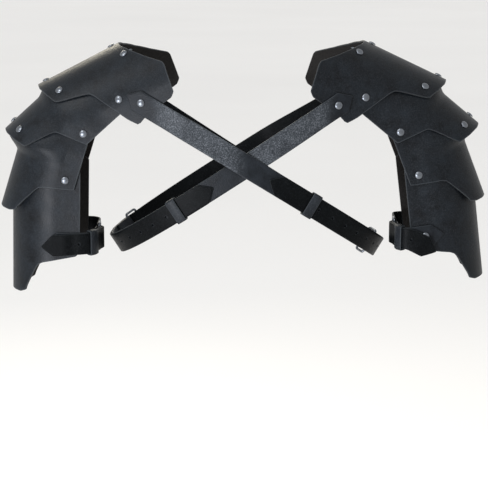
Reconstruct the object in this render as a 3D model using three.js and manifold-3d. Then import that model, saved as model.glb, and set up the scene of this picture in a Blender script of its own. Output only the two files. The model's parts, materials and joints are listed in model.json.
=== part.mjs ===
import * as THREE from "three";
import { mergeVertices } from "three/addons/utils/BufferGeometryUtils.js";
import Module from "manifold-3d";

// A pair of strapped leather shoulder guards, seen from behind along +Y.
// Millimetres, +Z up. The wearer faces +Y, so the wearer's left is at -X.
// The origin is midway between the shoulders, level with the tops of the
// two top lames at the neck.

const wasm = await Module();
wasm.setup();

// Sizes shared by all pieces
const LAME_THICK = 2.5;
const STRAP_THICK = 2.2;
const AIR = 0.35;
const STRAP_HALF = 12.5;
const SEGMENTS_PER_QUARTER = 9;
const QUARTER = Math.PI / 2;

// Rivets: a domed head, a post and a flat cap on the hidden side
const HEAD_RADIUS = 4.5;
const HEAD_HEIGHT = 2.1;
const HEAD_AIR = 0.3;
const POST_RADIUS = 1.6;
const POST_HOLE = 2.25;
const CAP_RADIUS = 3.4;
const CAP_THICK = 0.8;
const ROUND_SIDES = 8;
const HOLE_SIDES = 6;

// Towards the neck the lames widen from front to back, to clear the body
const WIDEN_FROM = 205;
const WIDEN_RATE = 1.9e-5;

// Straight crown line of each lame: its outer end, its slope in degrees and the
// radius of its arch. Each lower lame has a smaller arch and tucks under. The
// left arm hangs further out, so its lowest lame reaches "longer" millimetres
// further under lame 3, to close the view through that lame's notch.
const SHOULDERS = [
  {
    side: "left",
    sign: -1,
    lames: [
      { endX: -240.7, endZ: -45.2, slope: 27.2, radius: 65.7 },
      { endX: -280.4, endZ: -96.5, slope: 42.1, radius: 62.8 },
      { endX: -287.4, endZ: -186.3, slope: 72.5, radius: 59.9 },
      { endX: -276.0, endZ: -286.2, slope: 88.6, radius: 56.5, longer: 4.5 },
    ],
  },
  {
    side: "right",
    sign: 1,
    lames: [
      { endX: 238.6, endZ: -39.6, slope: 25.3, radius: 65.7 },
      { endX: 277.7, endZ: -90.3, slope: 39.6, radius: 62.8 },
      { endX: 286.8, endZ: -174.8, slope: 68.8, radius: 59.9 },
      { endX: 287.2, endZ: -269.9, slope: 83.1, radius: 56.5 },
    ],
  },
];

// Flat patterns. "around" is measured from the crown, "inner" and "outer" are the
// edges towards the neck and the hand, both measured along the lame from the
// outer end of its crown line. Front and back are alike.
const PATTERNS = [
  {
    rows: 3,
    edges: [
      { around: 0, inner: -105.5, outer: 0 },
      { around: 22, inner: -109, outer: -2.3 },
      { around: 42, inner: -118.4, outer: -8 },
      { around: 55, inner: -127.6, outer: -13.5 },
      { around: 61, inner: -132.7, outer: -19 },
      { around: 68.5, inner: -139.8, outer: -50 },
      { around: 71, inner: -142.3, outer: -55.5 },
      { around: 76, inner: -147.4, outer: -59.5 },
      { around: 80, inner: -148.3, outer: -61.7 },
      { around: 112, inner: -144, outer: -79.5 },
      { around: 117, inner: -138.5, outer: -82.3 },
      { around: 121, inner: -108, outer: -85.2 },
      { around: 127, inner: -93.5, outer: -90 },
    ],
  },
  {
    rows: 4,
    edges: [
      { around: 0, inner: -95, outer: 0 },
      { around: 24, inner: -95, outer: -1.6 },
      { around: 46, inner: -95, outer: -5.6 },
      { around: 60, inner: -95, outer: -9.5 },
      { around: 65.5, inner: -107, outer: -14.5 },
      { around: 74.5, inner: -134, outer: -44 },
      { around: 77.5, inner: -138, outer: -49.5 },
      { around: 83, inner: -138, outer: -52.8 },
      { around: 108, inner: -138, outer: -64.5 },
      { around: 112.5, inner: -134, outer: -66.8 },
    ],
  },
  {
    rows: 4,
    edges: [
      { around: 0, inner: -104, outer: 0 },
      { around: 24, inner: -104, outer: -0.8 },
      { around: 40, inner: -104, outer: -2.5 },
      { around: 48, inner: -104, outer: -5 },
      { around: 52.5, inner: -104, outer: -10 },
      { around: 69.5, inner: -124, outer: -35 },
      { around: 73, inner: -127, outer: -40 },
      { around: 79, inner: -127, outer: -42.8 },
      { around: 110, inner: -127, outer: -49.5 },
      { around: 114.5, inner: -123, outer: -51 },
    ],
  },
  {
    rows: 1,
    edges: [
      { around: 0, inner: -108, outer: 0 },
      { around: 38, inner: -108, outer: -0.5 },
      { around: 45, inner: -109, outer: -2.8 },
      { around: 49.5, inner: -112, outer: -8 },
      { around: 63.5, inner: -120.5, outer: -32 },
      { around: 67, inner: -123, outer: -36.5 },
      { around: 73, inner: -126, outer: -39.3 },
      { around: 88, inner: -145.5, outer: -42.5 },
      { around: 112, inner: -145.5, outer: -47.5 },
      { around: 116.5, inner: -141.5, outer: -52.5 },
    ],
  },
];

// The hidden end of lames 2 and 3 leaves its straight line and rises until it
// runs along the underside of the lame above, where the crown rivets hold it
const TUCKS = [
  null,
  { from: -52, to: -76, clearance: 0.7, squeeze: 1.1, squeezeAt: -92 },
  { from: -68, to: -90, clearance: 1.0, squeeze: 1.5, squeezeAt: -102 },
  null,
];

// Rivets of each lame, and the lames that each passes through
const LAME_RIVETS = [
  { lame: 0, name: "neck_middle", around: 0, along: -97, through: [0] },
  { lame: 0, name: "neck_back", around: 42.1, along: -110, through: [0] },
  { lame: 0, name: "neck_front", around: -42.1, along: -110, through: [0] },
  { lame: 0, name: "outer_middle", around: 0, along: -10.6, through: [0, 1] },
  { lame: 0, name: "outer_back", around: 47.1, along: -24.4, through: [0, 1] },
  { lame: 0, name: "outer_front", around: -47.1, along: -24.4, through: [0, 1] },
  { lame: 0, name: "tab_back", around: 92.7, along: -83.5, through: [0, 1] },
  { lame: 1, name: "crown_middle", around: 0, along: -13.7, through: [1, 2] },
  { lame: 1, name: "crown_back", around: 40, along: -17.2, through: [1, 2] },
  { lame: 1, name: "crown_front", around: -40, along: -17.2, through: [1, 2] },
  { lame: 1, name: "corner_back", around: 101, along: -72.5, through: [1, 2] },
  { lame: 1, name: "corner_front", around: -101, along: -72.5, through: [1, 2] },
  { lame: 2, name: "pivot_back", around: 101.8, along: -58.6, through: [2, 3] },
  { lame: 2, name: "pivot_front", around: -101.8, along: -58.6, through: [2, 3] },
];

// Materials
const material = (color, metalness, roughness) =>
  new THREE.MeshStandardMaterial({ color, metalness, roughness });
const leatherPlate = material(0x2c3035, 0, 0.5);
const leatherStrap = material(0x202429, 0, 0.55);
const leatherTongue = material(0x1a1d20, 0, 0.55);
const gunmetal = material(0x777c83, 1, 0.3);

// Closed bodies from grids and profiles
const pieces = new Map();

function solidFrom(points, faces) {
  const soup = new THREE.BufferGeometry();
  soup.setAttribute("position", new THREE.Float32BufferAttribute(points, 3));
  soup.setIndex(faces);
  let merged = mergeVertices(soup, 1e-4);
  let manifold = new wasm.Manifold(toMesh(merged));
  if (manifold.volume() < 0) {
    const turned = [];
    const index = merged.getIndex().array;
    for (let i = 0; i < index.length; i += 3) {
      turned.push(index[i], index[i + 2], index[i + 1]);
    }
    merged.setIndex(turned);
    manifold = new wasm.Manifold(toMesh(merged));
  }
  return manifold;
}

function toMesh(geometry) {
  return new wasm.Mesh({
    numProp: 3,
    vertProperties: new Float32Array(geometry.getAttribute("position").array),
    triVerts: new Uint32Array(geometry.getIndex().array),
  });
}

function addQuad(faces, a, b, c, d) {
  faces.push(a, b, c, a, c, d);
}

// A plate between two equal grids of points, closed round its border
function slab(outer, inner) {
  const columns = outer.length;
  const rows = outer[0].length;
  const points = [];
  for (const grid of [outer, inner]) {
    for (const column of grid) {
      for (const point of column) {
        points.push(point.x, point.y, point.z);
      }
    }
  }
  const at = (layer, i, j) => (layer * columns + i) * rows + j;
  const faces = [];
  for (let i = 0; i + 1 < columns; i += 1) {
    for (let j = 0; j + 1 < rows; j += 1) {
      addQuad(faces, at(0, i, j), at(0, i + 1, j), at(0, i + 1, j + 1), at(0, i, j + 1));
      addQuad(faces, at(1, i, j), at(1, i, j + 1), at(1, i + 1, j + 1), at(1, i + 1, j));
    }
    const last = rows - 1;
    addQuad(faces, at(0, i, 0), at(1, i, 0), at(1, i + 1, 0), at(0, i + 1, 0));
    addQuad(faces, at(0, i, last), at(0, i + 1, last), at(1, i + 1, last), at(1, i, last));
  }
  for (let j = 0; j + 1 < rows; j += 1) {
    const last = columns - 1;
    addQuad(faces, at(0, 0, j), at(0, 0, j + 1), at(1, 0, j + 1), at(1, 0, j));
    addQuad(faces, at(0, last, j), at(1, last, j), at(1, last, j + 1), at(0, last, j + 1));
  }
  return solidFrom(points, faces);
}

// Rings of points joined one to the next, and the last back to the first
function closedRing(rings) {
  const sides = rings[0].length;
  const points = rings.flat().flatMap((point) => [point.x, point.y, point.z]);
  const faces = [];
  for (let i = 0; i < rings.length; i += 1) {
    const next = (i + 1) % rings.length;
    for (let j = 0; j < sides; j += 1) {
      const k = (j + 1) % sides;
      addQuad(faces, i * sides + j, next * sides + j, next * sides + k, i * sides + k);
    }
  }
  return solidFrom(points, faces);
}

// A round bar between two points, its ends flat
function bar(from, to, radius, sides) {
  const axis = to.clone().sub(from);
  const geometry = new THREE.CylinderGeometry(radius, radius, axis.length(), sides, 1);
  const turn = new THREE.Quaternion();
  turn.setFromUnitVectors(new THREE.Vector3(0, 1, 0), axis.clone().normalize());
  geometry.applyQuaternion(turn);
  const middle = from.clone().add(to).multiplyScalar(0.5);
  geometry.translate(middle.x, middle.y, middle.z);
  const array = Array.from(geometry.getAttribute("position").array);
  return solidFrom(array, Array.from(geometry.getIndex().array));
}

function keep(name, manifold, look) {
  pieces.set(name, { name, manifold, look });
}

function geometryOf(manifold) {
  const mesh = manifold.getMesh();
  const geometry = new THREE.BufferGeometry();
  const positions = new Float32Array(mesh.vertProperties);
  geometry.setAttribute("position", new THREE.BufferAttribute(positions, 3));
  geometry.setIndex(Array.from(mesh.triVerts));
  return geometry;
}

// Lames
const clamp = THREE.MathUtils.clamp;
const widening = (x) => 1 + WIDEN_RATE * Math.max(0, WIDEN_FROM - Math.abs(x)) ** 2;

function lameFrame(shoulder, number) {
  const row = shoulder.lames[number];
  const slope = THREE.MathUtils.degToRad(row.slope);
  const down = new THREE.Vector3(shoulder.sign * Math.cos(slope), 0, -Math.sin(slope));
  const up = new THREE.Vector3(shoulder.sign * Math.sin(slope), 0, Math.cos(slope));
  const end = new THREE.Vector3(row.endX, 0, row.endZ);
  return { longer: 0, ...row, down, up, end, tuck: TUCKS[number], above: null };
}

// How far the hidden end of a lame is raised towards the lame above it, and
// how far its legs are drawn in there
function tuckOf(lame, along, arcFall) {
  if (!lame.tuck) {
    return { rise: 0, drawnIn: 0 };
  }
  const { from, to, clearance, squeeze, squeezeAt } = lame.tuck;
  const part = THREE.MathUtils.smoothstep(-along, -from, -to);
  const drawn = THREE.MathUtils.smoothstep(-along, -squeezeAt - 12, -squeezeAt + 12);
  const crown = lame.end.clone().addScaledVector(lame.down, along);
  const upper = lame.above;
  const fall = crown.sub(upper.end).dot(upper.up);
  const tilt = lame.up.dot(upper.up);
  const room = (-LAME_THICK - AIR - clearance - fall) / tilt;
  return { rise: (room - arcFall * (1 - tilt)) * part, drawnIn: squeeze * drawn };
}

function lamePoint(lame, around, along, out) {
  const turn = clamp(around / lame.radius, -QUARTER, QUARTER);
  const leg = Math.max(0, Math.abs(around) - lame.radius * QUARTER);
  const arcFall = lame.radius * (1 - Math.cos(turn));
  const { rise, drawnIn } = tuckOf(lame, along, arcFall);
  const away = out + rise * Math.cos(turn);
  const fall = arcFall + leg - away * Math.cos(turn);
  const point = lame.end.clone();
  point.addScaledVector(lame.down, along);
  point.addScaledVector(lame.up, -fall);
  point.y = -Math.sin(turn) * (lame.radius * widening(point.x) - drawnIn + away);
  return point;
}

function lameNormal(lame, around, along) {
  const step = 0.05;
  const here = lamePoint(lame, around, along, 0);
  const a = lamePoint(lame, around + step, along, 0).sub(here);
  const b = lamePoint(lame, around, along + step, 0).sub(here);
  const normal = a.cross(b).normalize();
  const outwards = lamePoint(lame, around, along, 1).sub(here);
  return normal.dot(outwards) < 0 ? normal.negate() : normal;
}

function edgesAt(pattern, around) {
  const position = Math.abs(around);
  const next = pattern.edges.findIndex((row) => row.around >= position);
  const a = pattern.edges[Math.max(0, next - 1)];
  const b = pattern.edges[next];
  const part = a === b ? 0 : (position - a.around) / (b.around - a.around);
  const between = (column) => a[column] + (b[column] - a[column]) * part;
  return { inner: between("inner"), outer: between("outer") };
}

// Places across the lame where its grid has a column: each corner of the
// pattern, and the regular steps of the arch that are clear of them
function columnPlaces(lame, pattern) {
  const places = pattern.edges.map((row) => row.around);
  const edge = places[places.length - 1];
  for (let i = 1; i <= SEGMENTS_PER_QUARTER; i += 1) {
    const place = (lame.radius * QUARTER * i) / SEGMENTS_PER_QUARTER;
    if (place < edge && places.every((other) => Math.abs(other - place) > 4.5)) {
      places.push(place);
    }
  }
  places.sort((a, b) => a - b);
  return [...places.slice(1).reverse().map((place) => -place), ...places];
}

function lameSolid(lame, pattern) {
  const outer = [];
  const inner = [];
  for (const around of columnPlaces(lame, pattern)) {
    const { inner: shown, outer: end } = edgesAt(pattern, around);
    const start = shown - lame.longer;
    const outerColumn = [];
    const innerColumn = [];
    for (let j = 0; j <= pattern.rows; j += 1) {
      const along = start + ((end - start) * j) / pattern.rows;
      outerColumn.push(lamePoint(lame, around, along, 0));
      innerColumn.push(lamePoint(lame, around, along, -LAME_THICK));
    }
    outer.push(outerColumn);
    inner.push(innerColumn);
  }
  return slab(outer, inner);
}

// Rivets
// Depth below "point" of the lowest face that the cap of a rivet must clear
function depthThrough(point, normal, names) {
  const meshes = names.map((name) => {
    const look = new THREE.MeshBasicMaterial({ side: THREE.DoubleSide });
    return new THREE.Mesh(geometryOf(pieces.get(name).manifold), look);
  });
  const side = new THREE.Vector3(0.3, 0.5, 1).cross(normal).normalize();
  const other = side.clone().cross(normal);
  const down = normal.clone().negate();
  let depth = 0;
  for (let i = 0; i <= ROUND_SIDES; i += 1) {
    const angle = (2 * Math.PI * i) / ROUND_SIDES;
    const reach = i === ROUND_SIDES ? 0 : CAP_RADIUS + 0.2;
    const start = point.clone().addScaledVector(side, reach * Math.cos(angle));
    start.addScaledVector(other, reach * Math.sin(angle));
    for (const hit of new THREE.Raycaster(start, down, 0, 25).intersectObjects(meshes)) {
      depth = Math.max(depth, hit.distance);
    }
  }
  return depth;
}

// A rivet whose head lies on "point" and whose post goes through the named
// pieces, which get a hole for it
function rivet(name, point, normal, names) {
  const seat = point.clone().addScaledVector(normal, HEAD_AIR);
  const lift = 1;
  const start = point.clone().addScaledVector(normal, lift);
  const grip = depthThrough(start, normal, names) - lift + HEAD_AIR + HEAD_AIR;
  const profile = [
    [0, HEAD_HEIGHT],
    [2.7, HEAD_HEIGHT * 0.78],
    [HEAD_RADIUS, 0],
    [POST_RADIUS, 0],
    [POST_RADIUS, -grip],
    [CAP_RADIUS, -grip],
    [CAP_RADIUS, -grip - CAP_THICK],
    [0, -grip - CAP_THICK],
  ].map(([radius, height]) => new THREE.Vector2(radius, height));
  const geometry = new THREE.LatheGeometry(profile, ROUND_SIDES);
  const turn = new THREE.Quaternion();
  turn.setFromUnitVectors(new THREE.Vector3(0, 1, 0), normal);
  geometry.applyQuaternion(turn);
  geometry.translate(seat.x, seat.y, seat.z);
  const bare = new THREE.BufferGeometry();
  bare.setAttribute("position", geometry.getAttribute("position"));
  bare.setIndex(geometry.getIndex());
  const merged = mergeVertices(bare, 1e-3);
  const faces = [];
  const index = merged.getIndex().array;
  for (let i = 0; i < index.length; i += 3) {
    const [a, b, c] = [index[i], index[i + 1], index[i + 2]];
    if (a !== b && b !== c && a !== c) {
      faces.push(a, b, c);
    }
  }
  keep(name, solidFrom(Array.from(merged.getAttribute("position").array), faces), gunmetal);
  const top = seat.clone().addScaledVector(normal, 1.5);
  const bottom = seat.clone().addScaledVector(normal, -grip - 1);
  const hole = bar(bottom, top, POST_HOLE, HOLE_SIDES);
  for (const other of names) {
    const piece = pieces.get(other);
    piece.manifold = piece.manifold.subtract(hole);
  }
}

// Strap paths. A path runs along the inner face of a strap; "place" gives the
// point at a distance along it, a height outwards and an offset across it.
class StrapPath {
  constructor(knots, across, centre) {
    this.curve = new THREE.CatmullRomCurve3(knots, false, "centripetal");
    this.curve.arcLengthDivisions = 600;
    this.length = this.curve.getLength();
    this.across = across;
    this.centre = centre;
  }

  frame(distance) {
    const part = clamp(distance / this.length, 0, 1);
    const point = this.curve.getPointAt(part);
    const along = this.curve.getTangentAt(part);
    point.addScaledVector(along, distance - part * this.length);
    const wide = this.across(point, along);
    wide.addScaledVector(along, -wide.dot(along)).normalize();
    const out = along.clone().cross(wide);
    const away = point.clone().sub(this.centre);
    if (out.dot(away) < 0) {
      out.negate();
    }
    return { point, along, wide, out };
  }

  place(distance, height, offset) {
    const { point, wide, out } = this.frame(distance);
    return point.addScaledVector(out, height).addScaledVector(wide, offset);
  }

  // Distance at which the path first comes to a given x, going from "start"
  distanceAtX(x, start) {
    const before = this.frame(start).point.x - x;
    let distance = start;
    while (distance < this.length) {
      distance += 0.5;
      if ((this.frame(distance).point.x - x) * before <= 0) {
        return distance;
      }
    }
    return this.length;
  }
}

// A strap drawn from the side as a line of [distance, height] through the
// middle of its thickness, with a half width at each point
function strapSolid(path, line) {
  const outer = [];
  const inner = [];
  line.forEach((station, i) => {
    const before = line[Math.max(0, i - 1)];
    const after = line[Math.min(line.length - 1, i + 1)];
    const run = after.distance - before.distance;
    const rise = after.height - before.height;
    const size = Math.hypot(run, rise);
    const half = STRAP_THICK / 2;
    const leanRun = (-rise / size) * half;
    const leanRise = (run / size) * half;
    const wide = station.half;
    const high = [station.distance + leanRun, station.height + leanRise];
    const low = [station.distance - leanRun, station.height - leanRise];
    outer.push([path.place(...high, -wide), path.place(...high, wide)]);
    inner.push([path.place(...low, -wide), path.place(...low, wide)]);
  });
  return slab(outer, inner);
}

// Regular stations between two distances, so that straps lying on each other
// have their facets at the same places
const TORSO_STATION = 11;
const ARM_STATION = 5.5;

function stations(from, to, height, spacing) {
  const line = [];
  const step = Math.sign(to - from) * spacing;
  let distance = (step > 0 ? Math.ceil(from / spacing) : Math.floor(from / spacing)) * spacing;
  while ((to - distance) * step > 0) {
    if (Math.abs(distance - from) > 2.5 && Math.abs(distance - to) > 2.5) {
      line.push({ distance, height, half: STRAP_HALF });
    }
    distance += step;
  }
  return line;
}

const LOW = STRAP_THICK / 2;
const HIGH = LOW + STRAP_THICK + AIR;
const ARM_HIGH = HIGH + 0.4;

// Buckle: a rectangular wire frame and its prong
const WIRE = 1.5;
const BAR_HEIGHT = 4.05;
const FRAME_LENGTH = 16;
const FRAME_HALF = 15.4;
const PRONG = 1.2;
const FOLD = WIRE + AIR + STRAP_THICK / 2;
const POINT_LENGTH = 13;
const CUT_LENGTH = 12;

// The buckle end of a short strap comes up over the heel bar and folds back
function foldedEnd(bar0, returned) {
  const line = [
    { distance: bar0 - returned - 18, height: LOW },
    { distance: bar0 - returned - 4, height: HIGH },
  ];
  if (returned > 14) {
    line.push({ distance: bar0 - 14, height: HIGH });
  }
  line.push({ distance: bar0 - 9, height: 4.7 });
  line.push({ distance: bar0 - 4.2, height: 6.55 });
  for (const degrees of [90, 45, 0, -45, -90]) {
    const angle = THREE.MathUtils.degToRad(degrees);
    line.push({
      distance: bar0 + FOLD * Math.cos(angle),
      height: BAR_HEIGHT + FOLD * Math.sin(angle),
    });
  }
  line.push({ distance: bar0 - 5, height: LOW });
  if (returned > 14) {
    line.push({ distance: bar0 - returned / 2, height: LOW });
  }
  line.push({ distance: bar0 - returned, height: LOW });
  return line.map((row) => ({ ...row, half: STRAP_HALF }));
}

// The long strap comes under the far bar, over the heel bar and down again
function throughBuckle(bar0, returned, high) {
  const line = [
    { distance: bar0 + 22, height: LOW },
    { distance: bar0 + 15, height: LOW },
    { distance: bar0 + 11.5, height: 1.6 },
    { distance: bar0 + 8, height: 4.0 },
    { distance: bar0 + 5.6, height: 7.3 },
    { distance: bar0 + 3, height: 9.2 },
    { distance: bar0, height: 9.7 },
    { distance: bar0 - 4.2, height: 9.35 },
    { distance: bar0 - 9.5, height: 7.75 },
    { distance: bar0 - 14.5, height: 6.45 },
  ];
  if (returned > 14) {
    line.push({ distance: bar0 - returned - 3, height: 6.4 });
  }
  line.push({ distance: bar0 - returned - 17.5, height: high + 0.1 });
  return line.map((row) => ({ ...row, half: STRAP_HALF }));
}

function buckle(name, path, bar0) {
  const corners = [
    { along: 0, across: -1 },
    { along: FRAME_LENGTH, across: -1 },
    { along: FRAME_LENGTH, across: 1 },
    { along: 0, across: 1 },
  ];
  const cut = 2.6;
  const centres = [];
  for (const { along, across } of corners) {
    const inwards = along === 0 ? 1 : -1;
    const first = { s: along + inwards * cut, w: across * FRAME_HALF };
    const second = { s: along, w: across * (FRAME_HALF - cut) };
    const bend = { s: along + inwards * cut * 0.3, w: across * (FRAME_HALF - cut * 0.3) };
    const startsAcross = (along === 0) === (across === -1);
    centres.push(...(startsAcross ? [second, bend, first] : [first, bend, second]));
  }
  const rings = centres.map((centre, i) => {
    const before = centres[(i + centres.length - 1) % centres.length];
    const after = centres[(i + 1) % centres.length];
    const run = after.s - before.s;
    const side = after.w - before.w;
    const size = Math.hypot(run, side);
    const ring = [];
    for (let j = 0; j < 6; j += 1) {
      const angle = (Math.PI * (2 * j + 1)) / 6;
      const lean = WIRE * Math.cos(angle);
      const height = BAR_HEIGHT + WIRE * Math.sin(angle);
      const s = bar0 + centre.s - (side / size) * lean;
      ring.push(path.place(s, height, centre.w + (run / size) * lean));
    }
    return ring;
  });
  const frame = closedRing(rings);
  const heel = path.place(bar0, BAR_HEIGHT + 0.3, 0);
  const tip = path.place(bar0 + FRAME_LENGTH + 2, BAR_HEIGHT + WIRE + PRONG * 0.75, 0);
  keep(name, frame.add(bar(heel, tip, PRONG, 6)), gunmetal);
  return bar(heel, tip, PRONG + AIR, ROUND_SIDES);
}

// A leather loop round both layers of strap
function keeper(name, path, distance, steps) {
  const wall = 1.6;
  const halfLength = 5.5;
  const low = -AIR - 0.2;
  const high = 2 * STRAP_THICK + 2 * AIR + 0.6;
  const side = STRAP_HALF + 0.45;
  const outline = (grow, cut) => {
    const corners = [];
    const w = side + grow;
    const top = high + grow;
    const bottom = low - grow;
    corners.push([-w + cut, bottom], [w - cut, bottom], [w, bottom + cut], [w, top - cut]);
    corners.push([w - cut, top], [-w + cut, top], [-w, top - cut], [-w, bottom + cut]);
    return corners;
  };
  const rings = [];
  const inside = outline(0, 0.25);
  const outside = outline(wall, 1.3);
  const offsets = [];
  for (let i = 0; i <= steps; i += 1) {
    offsets.push(halfLength * ((2 * i) / steps - 1));
  }
  const sections = offsets.map((offset) => [outside, offset]);
  sections.push(...offsets.reverse().map((offset) => [inside, offset]));
  for (const [corners, offset] of sections) {
    rings.push(corners.map(([w, h]) => path.place(distance + offset, h, w)));
  }
  keep(name, closedRing(rings), leatherStrap);
}

const PUNCH_RADIUS = 1.8;

function punch(name, path, distances, low, high) {
  const piece = pieces.get(name);
  for (const distance of distances) {
    const from = path.place(distance, low, 0);
    const to = path.place(distance, high, 0);
    piece.manifold = piece.manifold.subtract(bar(from, to, PUNCH_RADIUS, HOLE_SIDES));
  }
}

function drill(name, cutter) {
  const piece = pieces.get(name);
  piece.manifold = piece.manifold.subtract(cutter);
}

// Torso straps: each lies in a plane tilted across the back, turns forward
// round the body's side and comes back up across the chest
const TOP_RADIUS = SHOULDERS[0].lames[0].radius;
const TORSO = { x: 4.5, y: 15, halfWidth: 154, halfDepth: 112, power: 2.4 };
const TORSO_STRAPS = [
  {
    side: "left",
    sign: 1,
    lift: STRAP_THICK + AIR + 2.1,
    back: { level: -141.2, x: -0.609, y: -0.151 },
    endX: -131,
    rivetX: -115.3,
    frontRivet: { x: -141, z: -56 },
    tipX: 29.5,
    keeperX: 77,
    holeX: 84.5,
  },
  {
    side: "right",
    sign: -1,
    lift: 0,
    back: { level: -135.1, x: 0.651, y: -0.037 },
    endX: 123.5,
    rivetX: 108,
    frontRivet: { x: 139.6, z: -53.7 },
    tipX: -33.5,
    keeperX: -75,
    holeX: -86,
  },
];
const HOLE_PITCH = 20;
const TORSO_HOLES = 11;
const TORSO_RETURN = 30;

function torsoPoint(strap, degrees) {
  const angle = THREE.MathUtils.degToRad(degrees);
  const bend = (value) => Math.sign(value) * Math.abs(value) ** (2 / TORSO.power);
  const depth = TORSO.halfDepth + strap.lift;
  const x = TORSO.x + strap.sign * TORSO.halfWidth * bend(Math.cos(angle));
  return { x, y: TORSO.y + depth * bend(Math.sin(angle)) };
}

const TORSO_ANGLES = [-118, -108, -98, -89, -80, -71, -62, -52, -41, -29, -15, 0];
const FRONT_ANGLES = [15, 29, 41, 52, 62, 71, 80, 89, 98, 108, 118];

function torsoPath(strap) {
  const { back } = strap;
  const backZ = (p) => back.level + back.x * p.x + back.y * p.y;
  const side = torsoPoint(strap, 0);
  side.z = backZ(side);
  const tabY = (x) => TOP_RADIUS * widening(x) + AIR;
  const end = strap.frontRivet;
  const endY = tabY(end.x);
  const slopeX = (end.z - side.z - back.y * (endY - side.y)) / (end.x - side.x);
  const frontZ = (p) => side.z + slopeX * (p.x - side.x) + back.y * (p.y - side.y);
  const backTabX = [strap.endX, strap.rivetX, strap.rivetX + strap.sign * 8];
  const frontTab = [
    { inwards: 36, clear: 2.2 },
    { inwards: 18, clear: 0.8 },
    { inwards: 0, clear: 0.1 },
    { inwards: -14, clear: 0 },
  ].map(({ inwards, clear }) => {
    const x = end.x + strap.sign * inwards;
    return { x, y: tabY(x) + clear };
  });
  const knots = [
    ...backTabX.map((x) => ({ x, y: -tabY(x) })),
    ...TORSO_ANGLES.filter((a) => a > -105).map((a) => torsoPoint(strap, a)),
  ].map((p) => new THREE.Vector3(p.x, p.y, backZ(p)));
  const front = [
    ...FRONT_ANGLES.filter((a) => a < 105).map((a) => torsoPoint(strap, a)),
    ...frontTab,
  ].map((p) => new THREE.Vector3(p.x, p.y, frontZ(p)));
  knots.push(...front);
  const backAcross = new THREE.Vector3(-back.x, -back.y, 1).normalize();
  const frontAcross = new THREE.Vector3(-slopeX, -back.y, 1).normalize();
  const across = (point, along) => {
    const part = THREE.MathUtils.smoothstep(point.y, side.y - 45, side.y + 45);
    const wide = backAcross.clone().lerp(frontAcross, part).normalize();
    const face = Math.sign(point.y - side.y);
    const bend = 2 * WIDEN_RATE * (WIDEN_FROM - Math.abs(point.x)) * Math.sign(point.x);
    const onTab = new THREE.Vector3(TOP_RADIUS * bend, face, 0).cross(along).normalize();
    if (onTab.z < 0) {
      onTab.negate();
    }
    const fromTab = -point.x * strap.sign;
    return wide.lerp(onTab, THREE.MathUtils.smoothstep(fromTab, 45, 90)).normalize();
  };
  return new StrapPath(knots, across, new THREE.Vector3(TORSO.x, TORSO.y, side.z));
}

function cutStart(from, direction) {
  return [
    { distance: from, height: LOW, half: 0.8 },
    { distance: from + direction * CUT_LENGTH * 0.5, height: LOW, half: STRAP_HALF * 0.53 },
    { distance: from + direction * CUT_LENGTH, height: LOW, half: STRAP_HALF },
  ];
}

function pointedEnd(tip, direction, height) {
  return [
    { distance: tip + direction * POINT_LENGTH, height, half: STRAP_HALF },
    { distance: tip + direction * POINT_LENGTH * 0.5, height, half: STRAP_HALF * 0.55 },
    { distance: tip, height, half: 0.8 },
  ];
}

function torsoStrap(strap) {
  const path = torsoPath(strap);
  const tip = path.distanceAtX(strap.tipX, 0);
  const firstHole = path.distanceAtX(strap.holeX, 0);
  const heel = firstHole + HOLE_PITCH * (TORSO_HOLES - 1) - 3;
  const names = {
    short: `${strap.side}_torso_strap_back`,
    long: `${strap.side}_torso_strap_front`,
    buckle: `${strap.side}_torso_buckle`,
    keeper: `${strap.side}_torso_keeper`,
  };
  const shortStart = 0;
  const shortLine = [
    ...cutStart(shortStart, 1),
    ...stations(shortStart + CUT_LENGTH, heel - TORSO_RETURN - 18, LOW, TORSO_STATION),
    ...foldedEnd(heel, TORSO_RETURN),
  ];
  keep(names.short, strapSolid(path, shortLine), leatherStrap);
  const longLine = [
    ...cutStart(path.length, -1),
    ...stations(path.length - CUT_LENGTH, heel + 22, LOW, TORSO_STATION),
    ...throughBuckle(heel, TORSO_RETURN, HIGH),
    ...stations(heel - TORSO_RETURN - 17.5, tip + POINT_LENGTH, HIGH, TORSO_STATION),
    ...pointedEnd(tip, 1, HIGH),
  ];
  keep(names.long, strapSolid(path, longLine), leatherTongue);
  const holes = [];
  for (let i = 0; i < TORSO_HOLES - 2; i += 1) {
    holes.push(firstHole + i * HOLE_PITCH);
  }
  punch(names.long, path, holes, STRAP_THICK + 0.1, 10);
  const clearance = buckle(names.buckle, path, heel);
  drill(names.short, clearance);
  drill(names.long, clearance);
  keeper(names.keeper, path, path.distanceAtX(strap.keeperX, 0), 2);
  const frontDistance = path.length - 14;
  const backDistance = path.distanceAtX(strap.rivetX, 0);
  const topLame = `${strap.side}_lame_1`;
  const secondLame = `${strap.side}_lame_2`;
  for (const [label, distance, through] of [
    ["strap_back", backDistance, [names.short, topLame]],
    ["strap_front", frontDistance, [names.long, topLame, secondLame]],
  ]) {
    const { out } = path.frame(distance);
    const seat = path.place(distance, STRAP_THICK, 0);
    rivet(`${strap.side}_rivet_${label}`, seat, out, through);
  }
}

// Arm straps: from the back of the lowest lame round the inner side of the arm
// to its front. The short one carries the buckle and the keeper.
const LEG_FACE = 56.5 + AIR;
const ARM_STRAPS = [
  {
    side: "left",
    sign: -1,
    inner: 176,
    legX: 189.5,
    level: -225,
    tipX: 234.3,
    shortTipX: 229,
    rivetX: 211,
    baseRise: 0,
    tongueFall: 0.06,
  },
  {
    side: "right",
    sign: 1,
    inner: 184.5,
    legX: 194.5,
    level: -219,
    tipX: 224,
    shortTipX: 233,
    rivetX: 211.9,
    baseRise: 0.14,
    tongueFall: 0.47,
  },
];
const ARM_RETURN = 12;
const ARM_HEEL_Y = -14;

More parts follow.
